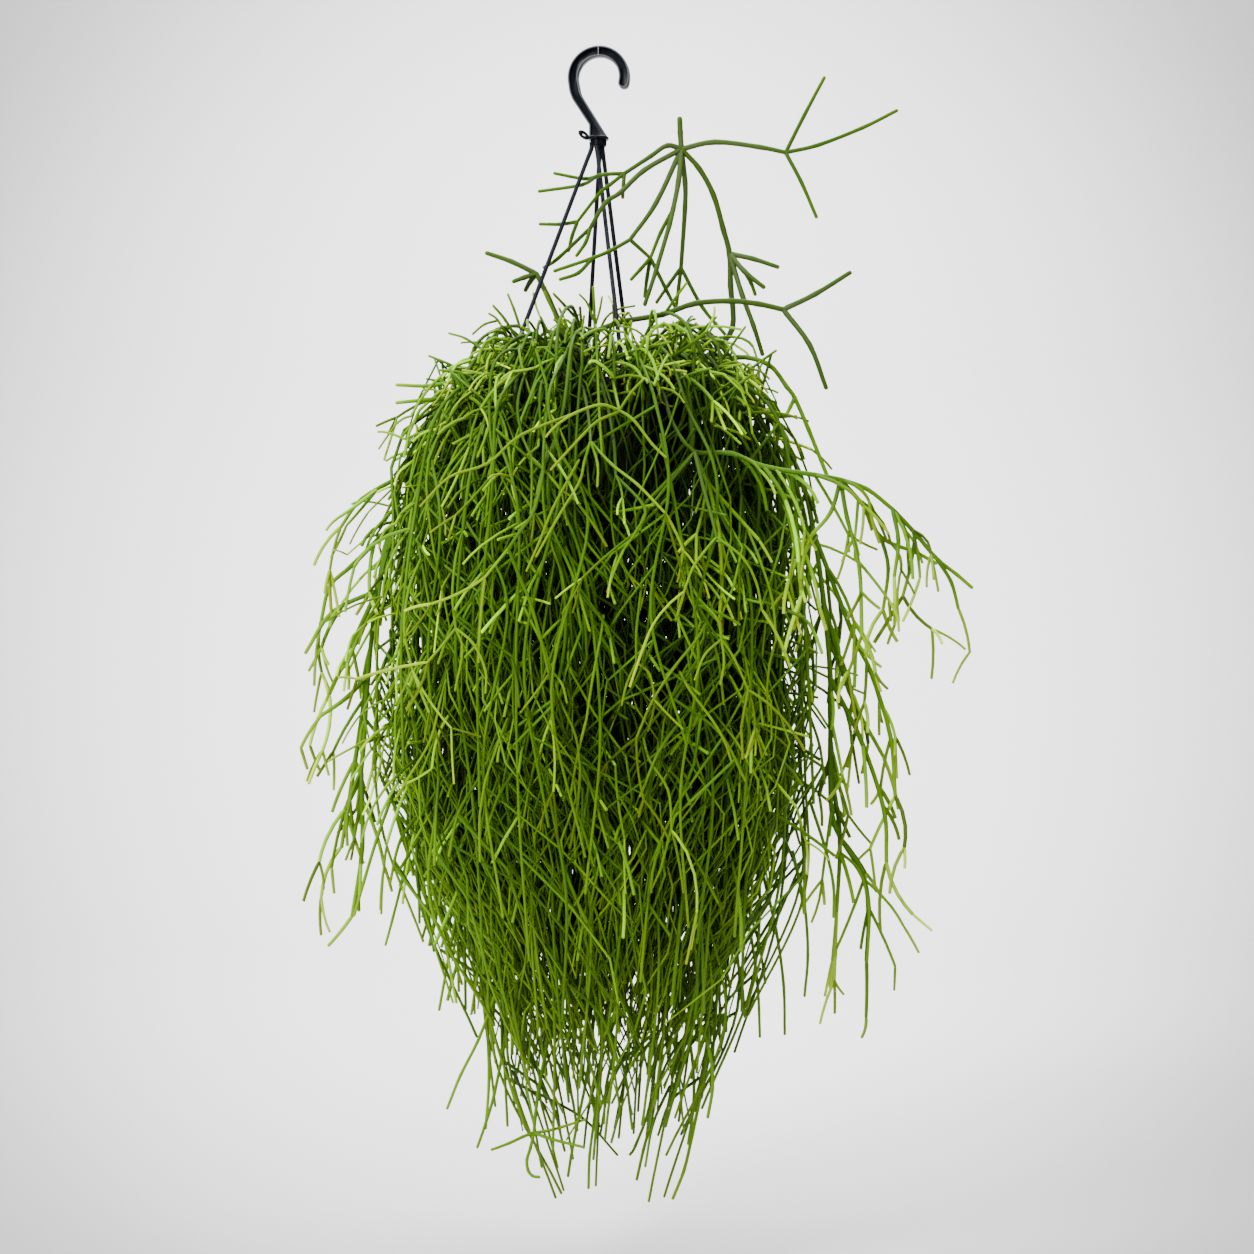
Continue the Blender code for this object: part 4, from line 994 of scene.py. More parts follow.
def free_stems(room):
    """The stems whose course is listed, each with all its twigs."""
    stems = []
    for owner, (name, (main, twigs)) in enumerate(FREE_STEMS.items()):
        main = np.array(main) * MM
        lines = [(main, np.linspace(STEM_RADIUS, TWIG_RADIUS, len(main)))]
        for twig in twigs:
            twig = np.array(twig) * MM
            lines.append((twig, tapered(twig, TWIG_RADIUS, TIP_RADIUS)))
        for points, radii in lines:
            room.add(points, radii, owner)
        stems.append((name, lines))
    return stems


def twig_line(points, share, chance):
    """A drooping twig from a place on a stem, or a short erect one above the rim."""
    start, heading = along(points, share)
    high = start[2] > RIM_TOP - 15 * MM
    length = chance.uniform(0.030, 0.058) if high else chance.uniform(0.075, 0.130)
    tilt = chance.uniform(0.45, 0.95)
    droop = chance.uniform(0.0, 0.4) if high else chance.uniform(0.5, 0.95)
    way = spread(heading, tilt, chance.uniform(0.0, 2 * math.pi))
    if high:
        way = way + np.array((0.0, 0.0, chance.uniform(0.5, 1.2)))
        way /= np.linalg.norm(way)
    line = drooping(start, way, length, droop, 2)
    tip = line[-1]
    most = reach(tip[2], math.atan2(tip[1], tip[0]))
    share_out = math.hypot(tip[0], tip[1]) / most
    fits = (high or 0.3 < share_out < 1.04) and tip[2] > -DEEPEST
    return line if fits and outside_pot(line[1:], 5 * MM) else None


def tapered(line, first, last):
    """Radii along a line that leaves its parent through a narrow neck."""
    radii = np.linspace(first, last, len(line))
    radii[0] = NECK_RADIUS
    return radii


def main_stems(room, chance, first_owner, roots):
    """The main line of each trailing stem, ring by ring, left out where it finds no room."""
    stems = []
    for count, root, hang, arch, first in RINGS:
        for i in range(count):
            for _ in range(TRIES):
                azimuth = math.radians(first + 360.0 * (i + chance.uniform(-0.2, 0.2)) / count)
                foot = root + chance.uniform(-4, 4) * MM
                place = np.array(polar(foot, azimuth))
                wide = hang * chance.uniform(0.93, 1.07)
                high = arch * chance.uniform(0.7, 1.3)
                line = trailing_axis(azimuth, foot, wide, high, chance)
                radii = np.linspace(STEM_RADIUS, TIP_RADIUS, len(line))
                apart = min(np.hypot(*(place - other)) for other in roots) > ROOT_SPACING
                if apart and room.is_free(line, radii, first_owner + len(stems)):
                    room.add(line, radii, first_owner + len(stems))
                    roots.append(place)
                    stems.append([(line, radii)])
                    break
    return stems


def grow_on(stem, room, owner, make):
    """One more line on a stem, if one of several tries has room."""
    for _ in range(TRIES):
        line = make()
        if line is None:
            continue
        radii = tapered(line, TWIG_RADIUS, TIP_RADIUS)
        if room.is_free(line, radii, owner):
            room.add(line, radii, owner)
            stem.append((line, radii))
            return


def trailing_stems(room, first_owner, roots):
    """Stems all round the pot, each with two forks and its twigs, clear of each other."""
    chance = np.random.default_rng(TRAILING_SEED)
    stems = main_stems(room, chance, first_owner, roots)
    for share, turn, change in FORKS:
        for i, stem in enumerate(stems):
            def fork():
                place = share + chance.uniform(-0.05, 0.05)
                aside = math.radians(turn * chance.uniform(0.6, 1.5))
                return fork_line(stem[0][0], place, aside, change + chance.uniform(-0.012, 0.012), chance)

            grow_on(stem, room, first_owner + i, fork)
    forked = [len(stem) for stem in stems]
    for part, share in TWIG_PLACES:
        for i, stem in enumerate(stems):
            if part < forked[i]:

                def twig():
                    return twig_line(stem[part][0], share + chance.uniform(-0.07, 0.07), chance)

                grow_on(stem, room, first_owner + i, twig)
    return [(f"trailing_stem_{i + 1:02d}", lines) for i, lines in enumerate(stems)]


def laid_stems():
    """Every rooted stem's name and lines, laid clear of the strands and of each other."""
    room = Room()
    for i, (_, degrees, x, y) in enumerate(STRANDS):
        mouth_x, mouth_y = COLLAR_X + x * MM, y * MM
        line = [
            (mouth_x, mouth_y, SOCKET_BOTTOM + 4.0 * MM - GAP),
            (mouth_x, mouth_y, SOCKET_BOTTOM - 2 * MM),
            round_pot(STRAND_CIRCLE, degrees, RIM_TOP - POT_WALL / 2),
        ]
        room.add(line, np.full(len(line), 1.5 * MM), -1 - i)
    stems = free_stems(room)
    roots = [lines[0][0][0][:2] for _, lines in stems]
    return stems + trailing_stems(room, len(stems), roots)


# First and last radius in mm of a main line, of its own forks, and of their forks
TRAILING_GIRTH = ((1.75, 1.15), (1.4, 1.1), (1.3, 1.05))
FLANK_GIRTH = ((2.2, 1.7), (1.85, 1.45), (1.65, 1.35))
CROWN_GIRTH = ((2.4, 2.2), (2.35, 1.8), (1.75, 1.45))
STUB_GIRTH = (2.4, 2.35)
LINE_STEPS = 7
FREE_STEPS = 4
SWELLING = 1.12
NECK = 5 * MM
LONG_STEPS = np.array((0.0, 0.08, 0.32, 0.60, 0.82, 1.0))
SHORT_STEPS = np.array((0.0, 0.14, 0.44, 0.74, 1.0))
DOWN = np.array((0.0, 0.0, -1.0))
# Generations of shoots: counts, lengths in metres, tilts in degrees, droops, first and last
# radius in mm, share of the ends that go on, steps
BODY_SPACING = 0.027
BODY_SHOOTS = (
    ((1, 2), (0.055, 0.135), (48, 90), (0.20, 0.78), (1.30, 1.18), 1.00, LONG_STEPS),
    ((2, 4), (0.040, 0.095), (34, 74), (0.10, 0.60), (1.16, 1.03), 0.95, LONG_STEPS),
    ((2, 4), (0.026, 0.070), (28, 68), (0.05, 0.55), (1.03, 0.90), 0.85, SHORT_STEPS),
    ((1, 3), (0.016, 0.046), (22, 58), (0.00, 0.50), (0.92, 0.80), 0.65, SHORT_STEPS),
)
LOW_SPACING = 0.024
LOW_SHOOTS = (
    ((1, 2), (0.080, 0.180), (10, 46), (0.05, 0.80), (1.42, 1.30), 1.00, LONG_STEPS),
    ((1, 3), (0.055, 0.130), (10, 42), (0.00, 0.55), (1.32, 1.20), 0.85, LONG_STEPS),
    ((1, 2), (0.030, 0.085), (8, 40), (-0.15, 0.40), (1.22, 1.08), 0.55, SHORT_STEPS),
)
ARCH_SPACING = 0.018
ARCH_SHOOTS = (
    ((1, 3), (0.040, 0.105), (34, 88), (0.20, 1.05), (1.34, 1.20), 1.00, LONG_STEPS),
    ((2, 3), (0.022, 0.066), (30, 78), (0.05, 0.80), (1.16, 1.03), 0.90, LONG_STEPS),
    ((2, 3), (0.012, 0.040), (26, 70), (-0.10, 0.60), (1.02, 0.88), 0.70, SHORT_STEPS),
)
TUFT_SHOOTS = (
    ((1, 3), (0.018, 0.052), (30, 85), (-0.30, 0.90), (1.22, 1.10), 1.00, SHORT_STEPS),
    ((2, 4), (0.012, 0.042), (24, 76), (-0.20, 0.80), (1.08, 0.96), 1.00, SHORT_STEPS),
    ((1, 3), (0.008, 0.030), (20, 70), (-0.10, 0.70), (0.96, 0.82), 0.60, SHORT_STEPS),
)
FLANK_SPACING = 0.034
FLANK_SHOOTS = (
    ((1, 2), (0.028, 0.070), (18, 52), (0.20, 0.90), (1.45, 1.28), 1.00, LONG_STEPS),
    ((1, 3), (0.016, 0.045), (16, 46), (0.10, 0.60), (1.28, 1.10), 0.70, SHORT_STEPS),
)
# Painted shade: a factor on the stems' colour by their share of the outline's reach, darkest in the core;
# CROWN_SHADE lifts it near the top of the crown
SHELL = ((0.0, 0.07), (0.44, 0.10), (0.63, 0.20), (0.79, 0.56), (0.92, 1.18), (1.10, 1.44))
CROWN_SHADE = ((-0.012, 0.90), (0.010, 0.55), (0.040, 0.0))
GIRTH = ((-1.03, 1.20), (-0.90, 1.16), (-0.78, 1.08), (-0.45, 1.08), (-0.20, 1.10))
# Painted light and shade by height: a factor on the stems' colour, lighter low down and at the top, darkest a
# little below the middle
HEIGHT_TONE = (
    (-1.03, 1.06), (-0.85, 0.89), (-0.72, 0.80), (-0.62, 0.88), (-0.50, 1.0), (-0.32, 1.08), (-0.25, 1.16)
)
# A patch of painted shade low in the middle: its place across and up, its size and its depth
SHADY_PLACE, SHADY_SIZE, SHADY_DEPTH = (-0.015, -0.67), (0.070, 0.17), 1.3
# How far shoots may reach: to the left, to the right, and forwards or backwards
BOX = (-0.267, 0.325, 0.196)
POT_GAP, POT_GAP_SIZE = (0.054, -0.135, -0.362), (0.050, 0.090, 0.040)
LOW = -0.66
LOWEST_SHOOTS = -0.995
# How much stem a cell of the bush can hold: by the share of the outline's reach, and by height
CELL = 40 * MM
CELLS = (24, 14, 32)
CELL_CORNER = np.array((-0.48, -0.28, -1.14))
CELL_HOLDS = 0.29
HOLDS_OUT = ((0.45, 0.40), (0.60, 0.98), (0.76, 0.92), (0.86, 0.42), (0.95, 0.26), (1.05, 0.18), (1.20, 0.11))
# How much slimmer than the outline the close core of the bush is, by height
CORE = (
    (-1.03, 1.15), (-0.92, 1.20), (-0.86, 1.36), (-0.80, 1.46), (-0.72, 1.30), (-0.68, 1.22), (-0.62, 1.05),
    (-0.54, 1.12), (-0.40, 1.02), (-0.33, 0.96), (-0.28, 1.04)
)
HOLDS_UP = (
    (-1.03, 0.36), (-0.95, 0.60), (-0.85, 0.90), (-0.72, 1.05), (-0.45, 1.0), (-0.36, 1.4), (-0.29, 2.9)
)
FINE_LINES = 9
FINE_RADIUS = 0.90 * MM
FINE_STEP = 0.030
FINE_PIECES = 4
FINE_SLOPE = 0.5  # the steepest way inwards
FINE_ENDS = ((0.0, 0.50), (0.25, 0.66), (0.55, 0.77), (0.80, 0.84), (0.95, 0.90), (1.0, 0.97))
LEVELS = np.linspace(0.36, DEEPEST, 80)
held = np.zeros(CELLS)


def read_off(table, place):
    """What a table of (place, value) pairs gives at a place, in between them too."""
    return np.interp(place, *zip(*table))


def unit(ways):
    return ways / np.linalg.norm(ways, axis=-1, keepdims=True)


def frames(ways):
    """Two directions square to each way."""
    side = unit(np.cross(ways, (0.31, 0.17, 0.93)))
    return side, np.cross(ways, side)


def away(places):
    """The level way from the pot's axis to each place."""
    flat = places * (1.0, 1.0, 0.0)
    return flat / np.maximum(np.linalg.norm(flat, axis=1, keepdims=True), 0.02)


def curved(starts, ways, lengths, droops, steps, chance):
    """Shoots that sag and bend a little as they go: their points and where they end up heading."""
    side, other = frames(ways)
    phase = chance.uniform(0.0, 2 * math.pi, (len(starts), 1))
    bend = chance.normal(0.0, 0.38, (len(starts), 1)) * (side * np.cos(phase) + other * np.sin(phase))
    pull = droops[:, None] * (DOWN - ways) + bend
    t = steps[None, :, None]
    points = starts[:, None] + lengths[:, None, None] * (t * ways[:, None] + 0.5 * t**2 * pull[:, None])
    return points, unit(ways + pull)


def whorls(ways, counts, tilts, chance):
    """Each way opened into a ring of tilted ones; also returns which one each came from."""
    parent = np.repeat(np.arange(len(counts)), counts)
    place = np.arange(len(parent)) - np.repeat(np.cumsum(counts) - counts, counts)
    turn = 2 * math.pi * place / counts[parent] + chance.uniform(0.0, 2 * math.pi, len(counts))[parent]
    turn = (turn + chance.uniform(-0.5, 0.5, len(parent)))[:, None]
    tilt = np.radians(chance.uniform(*tilts, len(parent)))[:, None]
    side, other = frames(ways[parent])
    across = side * np.cos(turn) + other * np.sin(turn)
    return ways[parent] * np.cos(tilt) + across * np.sin(tilt), parent


def bunched_reach(z, azimuth):
    """The outline with its bunches: it swells and draws in as they hang beside each other."""
    swell = 0.08 * np.sin(6 * azimuth + 11 * z) + 0.05 * np.sin(11 * azimuth - 24 * z + 1.0)
    return reach(z, azimuth) * (1.0 + swell - 0.05 * np.sin(azimuth) ** 2)


def cells_of(points):
    """The lengths of the spans of some lines, the cells they lie in, and what those can hold."""
    spans = np.linalg.norm(np.diff(points, axis=-2), axis=-1)
    middles = (points[..., 1:, :] + points[..., :-1, :]) / 2
    cells = np.clip(((middles - CELL_CORNER) / CELL).astype(int), 0, np.array(CELLS) - 1)
    azimuth = np.arctan2(middles[..., 1], middles[..., 0])
    share = np.hypot(middles[..., 0], middles[..., 1]) / bunched_reach(middles[..., 2], azimuth)
    share = share * read_off(CORE, middles[..., 2]) * (1.0 + 0.16 * np.maximum(np.cos(azimuth), 0.0))
    holds = CELL_HOLDS * read_off(HOLDS_OUT, share) * read_off(HOLDS_UP, middles[..., 2])
    return spans, cells, holds


def take_up(points):
    """Enters a line in the cells that it goes through."""
    spans, cells, _ = cells_of(points)
    np.add.at(held, tuple(cells.T), spans)


def with_room(points):
    """Which shoots find room among the others; each one that does takes up its own."""
    spans, cells, holds = cells_of(points)
    good = np.zeros(len(points), bool)
    for i in range(len(points)):
        at = tuple(cells[i].T)
        good[i] = (held[at] + spans[i] / 2).sum() < holds[i].sum()
        if good[i]:
            np.add.at(held, at, spans[i])
    return good


def kept_free(points, chance):
    """Which shoots stay in the object's box, clear of the pot, and out of the gap that shows it."""
    around = np.hypot(points[..., 0], points[..., 1])
    z = points[..., 2]
    beside = (around > RIM_RADIUS + 2 * MM) | (z > RIM_TOP + 2 * MM) | (z < RIM_TOP - POT_HEIGHT - 4 * MM)
    boxed = (points[..., 0] > BOX[0]) & (points[..., 0] < BOX[1]) & (np.abs(points[..., 1]) < BOX[2])
    seen = (((points - POT_GAP) / POT_GAP_SIZE) ** 2).sum(-1) > 1.0
    return (beside & boxed & seen & (z > LOWEST_SHOOTS)).all(axis=1)


def crown_top(around):
    """The height of the domed crown at a distance from the axis."""
    return -0.256 - 6.5 * np.maximum(around - 0.065, 0.0) ** 2


def kept_in(points, chance):
    """Which shoots also stay inside the plant's ragged outline and its domed crown."""
    around = np.hypot(points[..., 0], points[..., 1])
    azimuth = np.arctan2(points[..., 1], points[..., 0])
    z = points[..., 2]
    ragged = np.clip(chance.normal(0.02, 0.09, (len(points), 1)), -0.10, 0.20)
    wide = around < (1.0 + ragged * (1.0 - 0.6 * np.sin(azimuth) ** 2)) * bunched_reach(z, azimuth)
    under = z < crown_top(around) + 0.26 * ragged
    return kept_free(points, chance) & (wide & under).all(axis=1)


def kept(points, chance):
    """Which shoots stay in and find room too."""
    good = kept_in(points, chance)
    good[good] = with_room(points[good])
    return good


def joints(points, spacing, chance):
    """Places along a line where shoots leave it, the line's way there, and the share of it passed."""
    spans = np.diff(points, axis=0)
    lengths = np.linalg.norm(spans, axis=1)
    ends = np.append(0.0, np.cumsum(lengths))
    count = max(int(ends[-1] / spacing), 1)
    at = ends[-1] * (np.arange(count) + 0.75 + chance.uniform(-0.25, 0.25, count)) / count
    at = np.append(at[:-1], ends[-1] * 0.9995)
    i = np.clip(np.searchsorted(ends, at) - 1, 0, len(lengths) - 1)
    ways = spans[i] / lengths[i, None]
    return points[i] + ways * (at - ends[i])[:, None], ways, at / ends[-1]


def rows_of(points, steps, radii, old, young, tone, chance):
    """Rows for line_mesh: one for each shoot, thin at its neck, paler towards its tip."""
    thickness = (radii[0] + (radii[1] - radii[0]) * steps) * MM
    thickness[0] *= 0.75
    rows = []
    for i, line in enumerate(points):
        age = old[i] + (young[i] - old[i]) * steps
        shade = np.full(len(steps), tone * np.clip(chance.lognormal(-0.10, 0.52), 0.32, 2.3))
        scale = chance.uniform(0.85, 1.12)
        rows.append((line, {"thickness": thickness * scale, "age": age, "tone": shade}))
    return rows


def shoots_on(places, ways, ages, plan, allowed, push, tone, chance):
    """Generations of shoots in whorls, from the joints that are given, each from the last one's ends."""
    rows = []
    for k, (counts, lengths, tilts, droops, radii, going, steps) in enumerate(plan):
        on = chance.random(len(places)) < going
        places, ways, ages = places[on], ways[on], ages[on]
        if not len(places):
            break
        number = chance.integers(counts[0], counts[1] + 1, len(places))
        fresh, parent = whorls(ways, number, tilts, chance)
        fresh = unit(push(places[parent], fresh, k))
        far = chance.uniform(*lengths, len(parent))
        droop = chance.uniform(*droops, len(parent))
        points, after = curved(places[parent], fresh, far, droop, steps, chance)
        good = allowed(points, chance)
        points, after, parent = points[good], after[good], parent[good]
        old = ages[parent]
        young = old * (0.62 if k < len(plan) - 1 else 0.0) * chance.uniform(0.6, 1.2, len(old))
        rows += rows_of(points, steps, radii, old, young, tone, chance)
        places, ways, ages = points[:, -1], after, young
    return rows


def outwards(places, ways, k):
    """Shoots of the curtain: none heads inwards, and low down they mostly hang."""
    out = away(places)
    inward = np.minimum((ways * out).sum(1, keepdims=True), 0.0)
    level = np.cross(out, DOWN)
    sideways = (ways * level).sum(1, keepdims=True) * level
    low = np.clip((-0.60 - places[:, 2:]) / 0.30, 0.0, 1.0)
    slack = np.clip((-0.56 - places[:, 2:]) / 0.14, 0.0, 1.0)
    push = (0.50 * out * (1.0 - low) + 0.40 * slack * DOWN) / (1 + k)
    return ways - 1.7 * inward * out + (0.6 - 0.7 * slack) * sideways + push


def upwards(places, ways, k):
    """Shoots of the crown: up over its middle, outwards at its edge."""
    edge = np.clip(np.linalg.norm(places[:, :2], axis=1, keepdims=True) / 0.10, 0.0, 1.2)
    return ways + (0.95 * edge * away(places) - 0.6 * (1.15 - edge) * DOWN) / (1 + k)


def over_rim(places, ways, k):
    """Shoots of the arches: they spring up and out over the rim before they fall."""
    return ways + (0.95 * away(places) - 0.70 * DOWN) / (1 + k)


def sagging(places, ways, k):
    return ways + 0.25 * DOWN


def eased_line(path, thickness, old, young, tone, neck):
    """A smooth path as a row, a little thinner where it leaves its parent, with a blunt round tip."""
    share = np.linspace(0.0, 1.0, len(path))
    if neck:
        first = path[1] - path[0]
        head = path[0] + min(NECK, 0.5 * np.linalg.norm(first)) * unit(first)
        path = np.vstack([path[:1], head[None], path[1:]])
        thickness = np.append([thickness[0] * 0.85, thickness[0]], thickness[1:])
        share = np.append([0.0, 0.01], share[1:])
    way = unit(path[-1] - path[-2])
    last = thickness[-1]
    path = np.vstack([path, path[-1] + way * last * 0.55, path[-1] + way * last * 0.9])
    thickness = np.append(thickness, [last * 0.85, last * 0.5])
    age = np.append(old + (young - old) * share, [young * 0.6, young * 0.4])
    return path, {"thickness": thickness, "age": age, "tone": np.full(len(path), tone)}


def swollen(first, last, count, steps):
    """Radii down a line, given in mm, a little larger at each joint."""
    thickness = np.linspace(first, last, count) * MM
    thickness[steps:-1:steps] *= SWELLING
    return thickness


def lowest(radius, azimuth):
    """How deep the outline still is as wide as this."""
    wide = reach(-LEVELS, azimuth) > radius
    return LEVELS[np.nonzero(wide)[0][-1]] if wide.any() else 0.5


def fine_line(start, chance):
    """A thin side stem inside the bush: out from its joint, then down in loose waves to its tip."""
    start_azimuth = math.atan2(start[1], start[0])
    azimuth = start_azimuth + chance.normal(0.0, 0.25)
    share = (0.30 + 0.56 * math.sqrt(chance.random())) / float(read_off(CORE, start[2] - 0.15))
    first = math.hypot(start[0], start[1])
    wide = share * float(bunched_reach(start[2] - 0.10, azimuth))
    end = min(lowest(wide, azimuth) - 0.02, float(read_off(FINE_ENDS, chance.random())))
    count = int((end + start[2]) / FINE_STEP)
    if count < 3:
        return None
    z = np.linspace(start[2], -end, count)
    fall = start[2] - z
    out = 1.0 - (1.0 - np.clip(fall / chance.uniform(0.05, 0.12), 0.0, 1.0)) ** 2
    radius = first + (wide - first) * out + chance.normal(0.0, 0.16) * fall
    turn = start_azimuth + (azimuth - start_azimuth) * out + chance.normal(0.0, 2.4) * fall
    radius = np.minimum(radius, 0.92 * bunched_reach(z, turn) / read_off(CORE, z))
    radius = np.maximum(radius, first - FINE_SLOPE * fall)
    beside = (z > RIM_TOP - POT_HEIGHT - 6 * MM) & (z < RIM_TOP + 4 * MM)
    if beside[0] and first < RIM_RADIUS:
        return None
    radius = np.where(beside, np.maximum(radius, RIM_RADIUS + 5 * MM), radius)
    phase = chance.uniform(0.0, 2 * math.pi, 2)
    waves = 2 * math.pi / chance.uniform(0.11, 0.26, 2)
    sway = chance.uniform(4.0, 16.0) * MM * out
    x = radius * np.cos(turn) + sway * np.sin(waves[0] * z + phase[0])
    y = radius * np.sin(turn) + sway * np.sin(waves[1] * z + phase[1])
    line = np.stack([np.clip(x, *BOX[:2]), np.clip(y, -BOX[2], BOX[2]), z], 1)
    line[0] = start
    return line


def fine_lines(path, number, tone, chance):
    """Thin side stems that leave a line and hang behind it."""
    rows = []
    for _ in range(number):
        start, _ = along(path, chance.uniform(0.08, 0.9))
        line = fine_line(start, chance) if start[2] < -0.27 else None
        if line is None:
            continue
        thin = FINE_RADIUS * chance.uniform(0.85, 1.35)
        thickness = np.linspace(thin * 1.15, thin * 0.85, len(line))
        age = np.linspace(0.62, chance.uniform(0.1, 0.3), len(line))
        shade = np.full(len(line), tone * chance.uniform(0.45, 1.15))
        rows.append((line, {"thickness": thickness, "age": age, "tone": shade}))
    return rows


def stem_finish():
    """Smooth green skin: its colour follows the age of the stem and the tone attribute, which holds a random
    tone with painted shade and painted light in it.
    """
    finish, tree, shader = shader_of("mistletoe_cactus_stem")
    age = node(tree, "ShaderNodeAttribute", attribute_name="age")
    tone = node(tree, "ShaderNodeAttribute", attribute_name="tone")
    colours = (
        (0.00, (0.245, 0.315, 0.010)),
        (0.06, (0.185, 0.300, 0.006)),
        (0.30, (0.106, 0.224, 0.004)),
        (0.60, (0.048, 0.120, 0.004)),
        (0.85, (0.054, 0.108, 0.012)),
        (1.00, (0.074, 0.120, 0.028)),
    )
    mottle = spread_to(tree, object_noise(tree, 55.0, 3.0), 0.86, 1.20)
    # The tone attribute scales the colour, with its painted shade and painted light
    shade = node(tree, "ShaderNodeMath", operation="MULTIPLY")
    tree.links.new(mottle, shade.inputs[0])
    tree.links.new(tone.outputs["Fac"], shade.inputs[1])
    mixed = node(tree, "ShaderNodeVectorMath", operation="SCALE")
    tree.links.new(ramp(tree, age.outputs["Fac"], colours), mixed.inputs[0])
    tree.links.new(shade.outputs[0], mixed.inputs["Scale"])
    tree.links.new(mixed.outputs["Vector"], shader.inputs["Base Color"])
    tree.links.new(spread_to(tree, object_noise(tree, 160.0, 2.0), 0.30, 0.46), shader.inputs["Roughness"])
    shader.inputs["Specular IOR Level"].default_value = 0.05
    bumped(tree, shader, object_noise(tree, 420.0, 3.0), 0.12 * MM, 0.5)
    return finish


def shaded_inside(rows):
    """Paints shade into the stems' colour towards the middle of the bush and in a patch low in the middle,
    paints light on the side the key light falls on and by height, thins the stems towards the middle, and
    thins the low ones.
    """
    for points, extra in rows:
        azimuth = np.arctan2(points[:, 1], points[:, 0])
        around = np.hypot(points[:, 0], points[:, 1])
        share = around / reach(points[:, 2], azimuth) * read_off(CORE, points[:, 2])
        inside = read_off(SHELL, share)
        open_air = read_off(CROWN_SHADE, crown_top(around) - points[:, 2])
        open_air = np.maximum(open_air, np.clip((-0.76 - points[:, 2]) / 0.14, 0.0, 0.85))
        # Painted light: lighter towards the upper left, where the key light falls, with painted shade in the
        # patch low in the middle
        sunny = np.clip((0.3 * (points[:, 2] + 0.6) - points[:, 0]) / 0.2, -1.0, 1.0)
        off_x = (points[:, 0] - SHADY_PLACE[0]) / SHADY_SIZE[0]
        off_z = (points[:, 2] - SHADY_PLACE[1]) / SHADY_SIZE[1]
        sunny = sunny - SHADY_DEPTH * np.exp(-(off_x**2) - off_z**2)
        extra["tone"] = extra["tone"] * (inside + (1.0 - inside) * open_air) * (1.0 + 0.15 * sunny)
        extra["tone"] = extra["tone"] * read_off(HEIGHT_TONE, points[:, 2])
        slim = np.interp(share, (0.44, 0.78), (0.66, 1.0))
        slim = slim + np.maximum(1.0 - slim, 0.0) * open_air
        flank = np.clip((np.abs(np.cos(azimuth)) * share - 0.75) / 0.2, 0.0, 1.0)
        beside = 1.0 + 0.15 * flank * (1.0 - open_air)
        girth = slim * beside * read_off(GIRTH, points[:, 2])
        extra["thickness"] = extra["thickness"] * girth
    return rows


def stem_piece(name, nodes, rows, sides, tree, finish):
    mesh = line_mesh(name, shaded_inside(rows))
    return finished(grown(name, mesh, tree, Sides=sides, Finish=finish), nodes, finish)


def bushy(path, old, young, tone, chance):
    """Whorls of shoots all along a trailing line: over the rim, down the curtain, at its foot."""
    rows = []
    zones = (
        (ARCH_SPACING, ARCH_SHOOTS, over_rim, RIM_TOP - 50 * MM, 0.0),
        (BODY_SPACING, BODY_SHOOTS, outwards, LOW, RIM_TOP - 20 * MM),
        (LOW_SPACING, LOW_SHOOTS, outwards, -1.1, LOW),
    )
    for spacing, plan, push, bottom, top in zones:
        places, ways, shares = joints(path, spacing, chance)
        around = np.hypot(places[:, 0], places[:, 1])
        here = (places[:, 2] > bottom) & (places[:, 2] <= top)
        here &= (places[:, 2] > SOIL_TOP + 8 * MM) | (around > RIM_RADIUS)
        ages = 0.45 + 0.4 * (old + (young - old) * shares[here]) * (top < 0.0)
        rows += shoots_on(places[here], ways[here], ages, plan, kept, push, tone, chance)
    return rows


def sector(places, count):
    """Which of count equal sectors round the pot a line hangs in."""
    middle = places[len(places) // 2]
    return int((math.atan2(middle[1], middle[0]) / (2 * math.pi)) % 1.0 * count) % count


def make_stems(tree, finish):
    """A piece for each rooted stem, in place of its solid; returns the trailing lines."""
    trailing_paths = []
    stems = []
    for number, (name, lines) in enumerate(laid_stems()):
        chance = np.random.default_rng(700 + number)
        trailing = name.startswith("trailing")
        tone = chance.uniform(0.9, 1.1) * (0.55 if "crown" in name else 0.85 if "flank" in name else 1.0)
        steps = LINE_STEPS if trailing else FREE_STEPS
        rows, smooth = [], []
        for k, (points, _) in enumerate(lines):
            first_fork = bool(k) and np.abs(lines[0][0] - points[0]).sum(1).min() < MM
            girth = TRAILING_GIRTH if trailing else CROWN_GIRTH if "crown" in name else FLANK_GIRTH
            radii = girth[min(k, 1) if first_fork or not k else 2]
            old, young = (0.75, 0.45 if "crown" in name else 0.2) if k else (1.0, 0.45)
            if "crown" in name and (first_fork or not k):
                old, young = 1.0, 0.80
            if name == "tall_crown_stem" and k == 1:
                radii = STUB_GIRTH
            path = eased(points, steps)
            thickness = swollen(*radii, len(path), steps)
            shade = tone * (0.65 if trailing else 1.0)
            rows.append(eased_line(path, thickness, old, young, shade, neck=k > 0))
            smooth.append((path, old, young))
            take_up(path)
        stems.append((name, trailing, chance, tone, rows, smooth))
    for name, trailing, chance, tone, rows, smooth in stems:
        flank = "flank" in name or name == "right_arching_stem"
        for path, old, young in smooth:
            if trailing:
                trailing_paths.append(path)
                rows += bushy(path, old, young, tone, chance)
            elif flank:
                places, ways, shares = joints(path, FLANK_SPACING, chance)
                ages = 0.85 * (old + (young - old) * shares)
                rows += shoots_on(places, ways, ages, FLANK_SHOOTS, kept_free, sagging, tone, chance)
        stem_piece(f"{name}_skin", [name], rows, 6 if trailing else 10, tree, finish)
    return trailing_paths


stem_green = stem_finish()
trailing_paths = make_stems(round_sweep, stem_green)
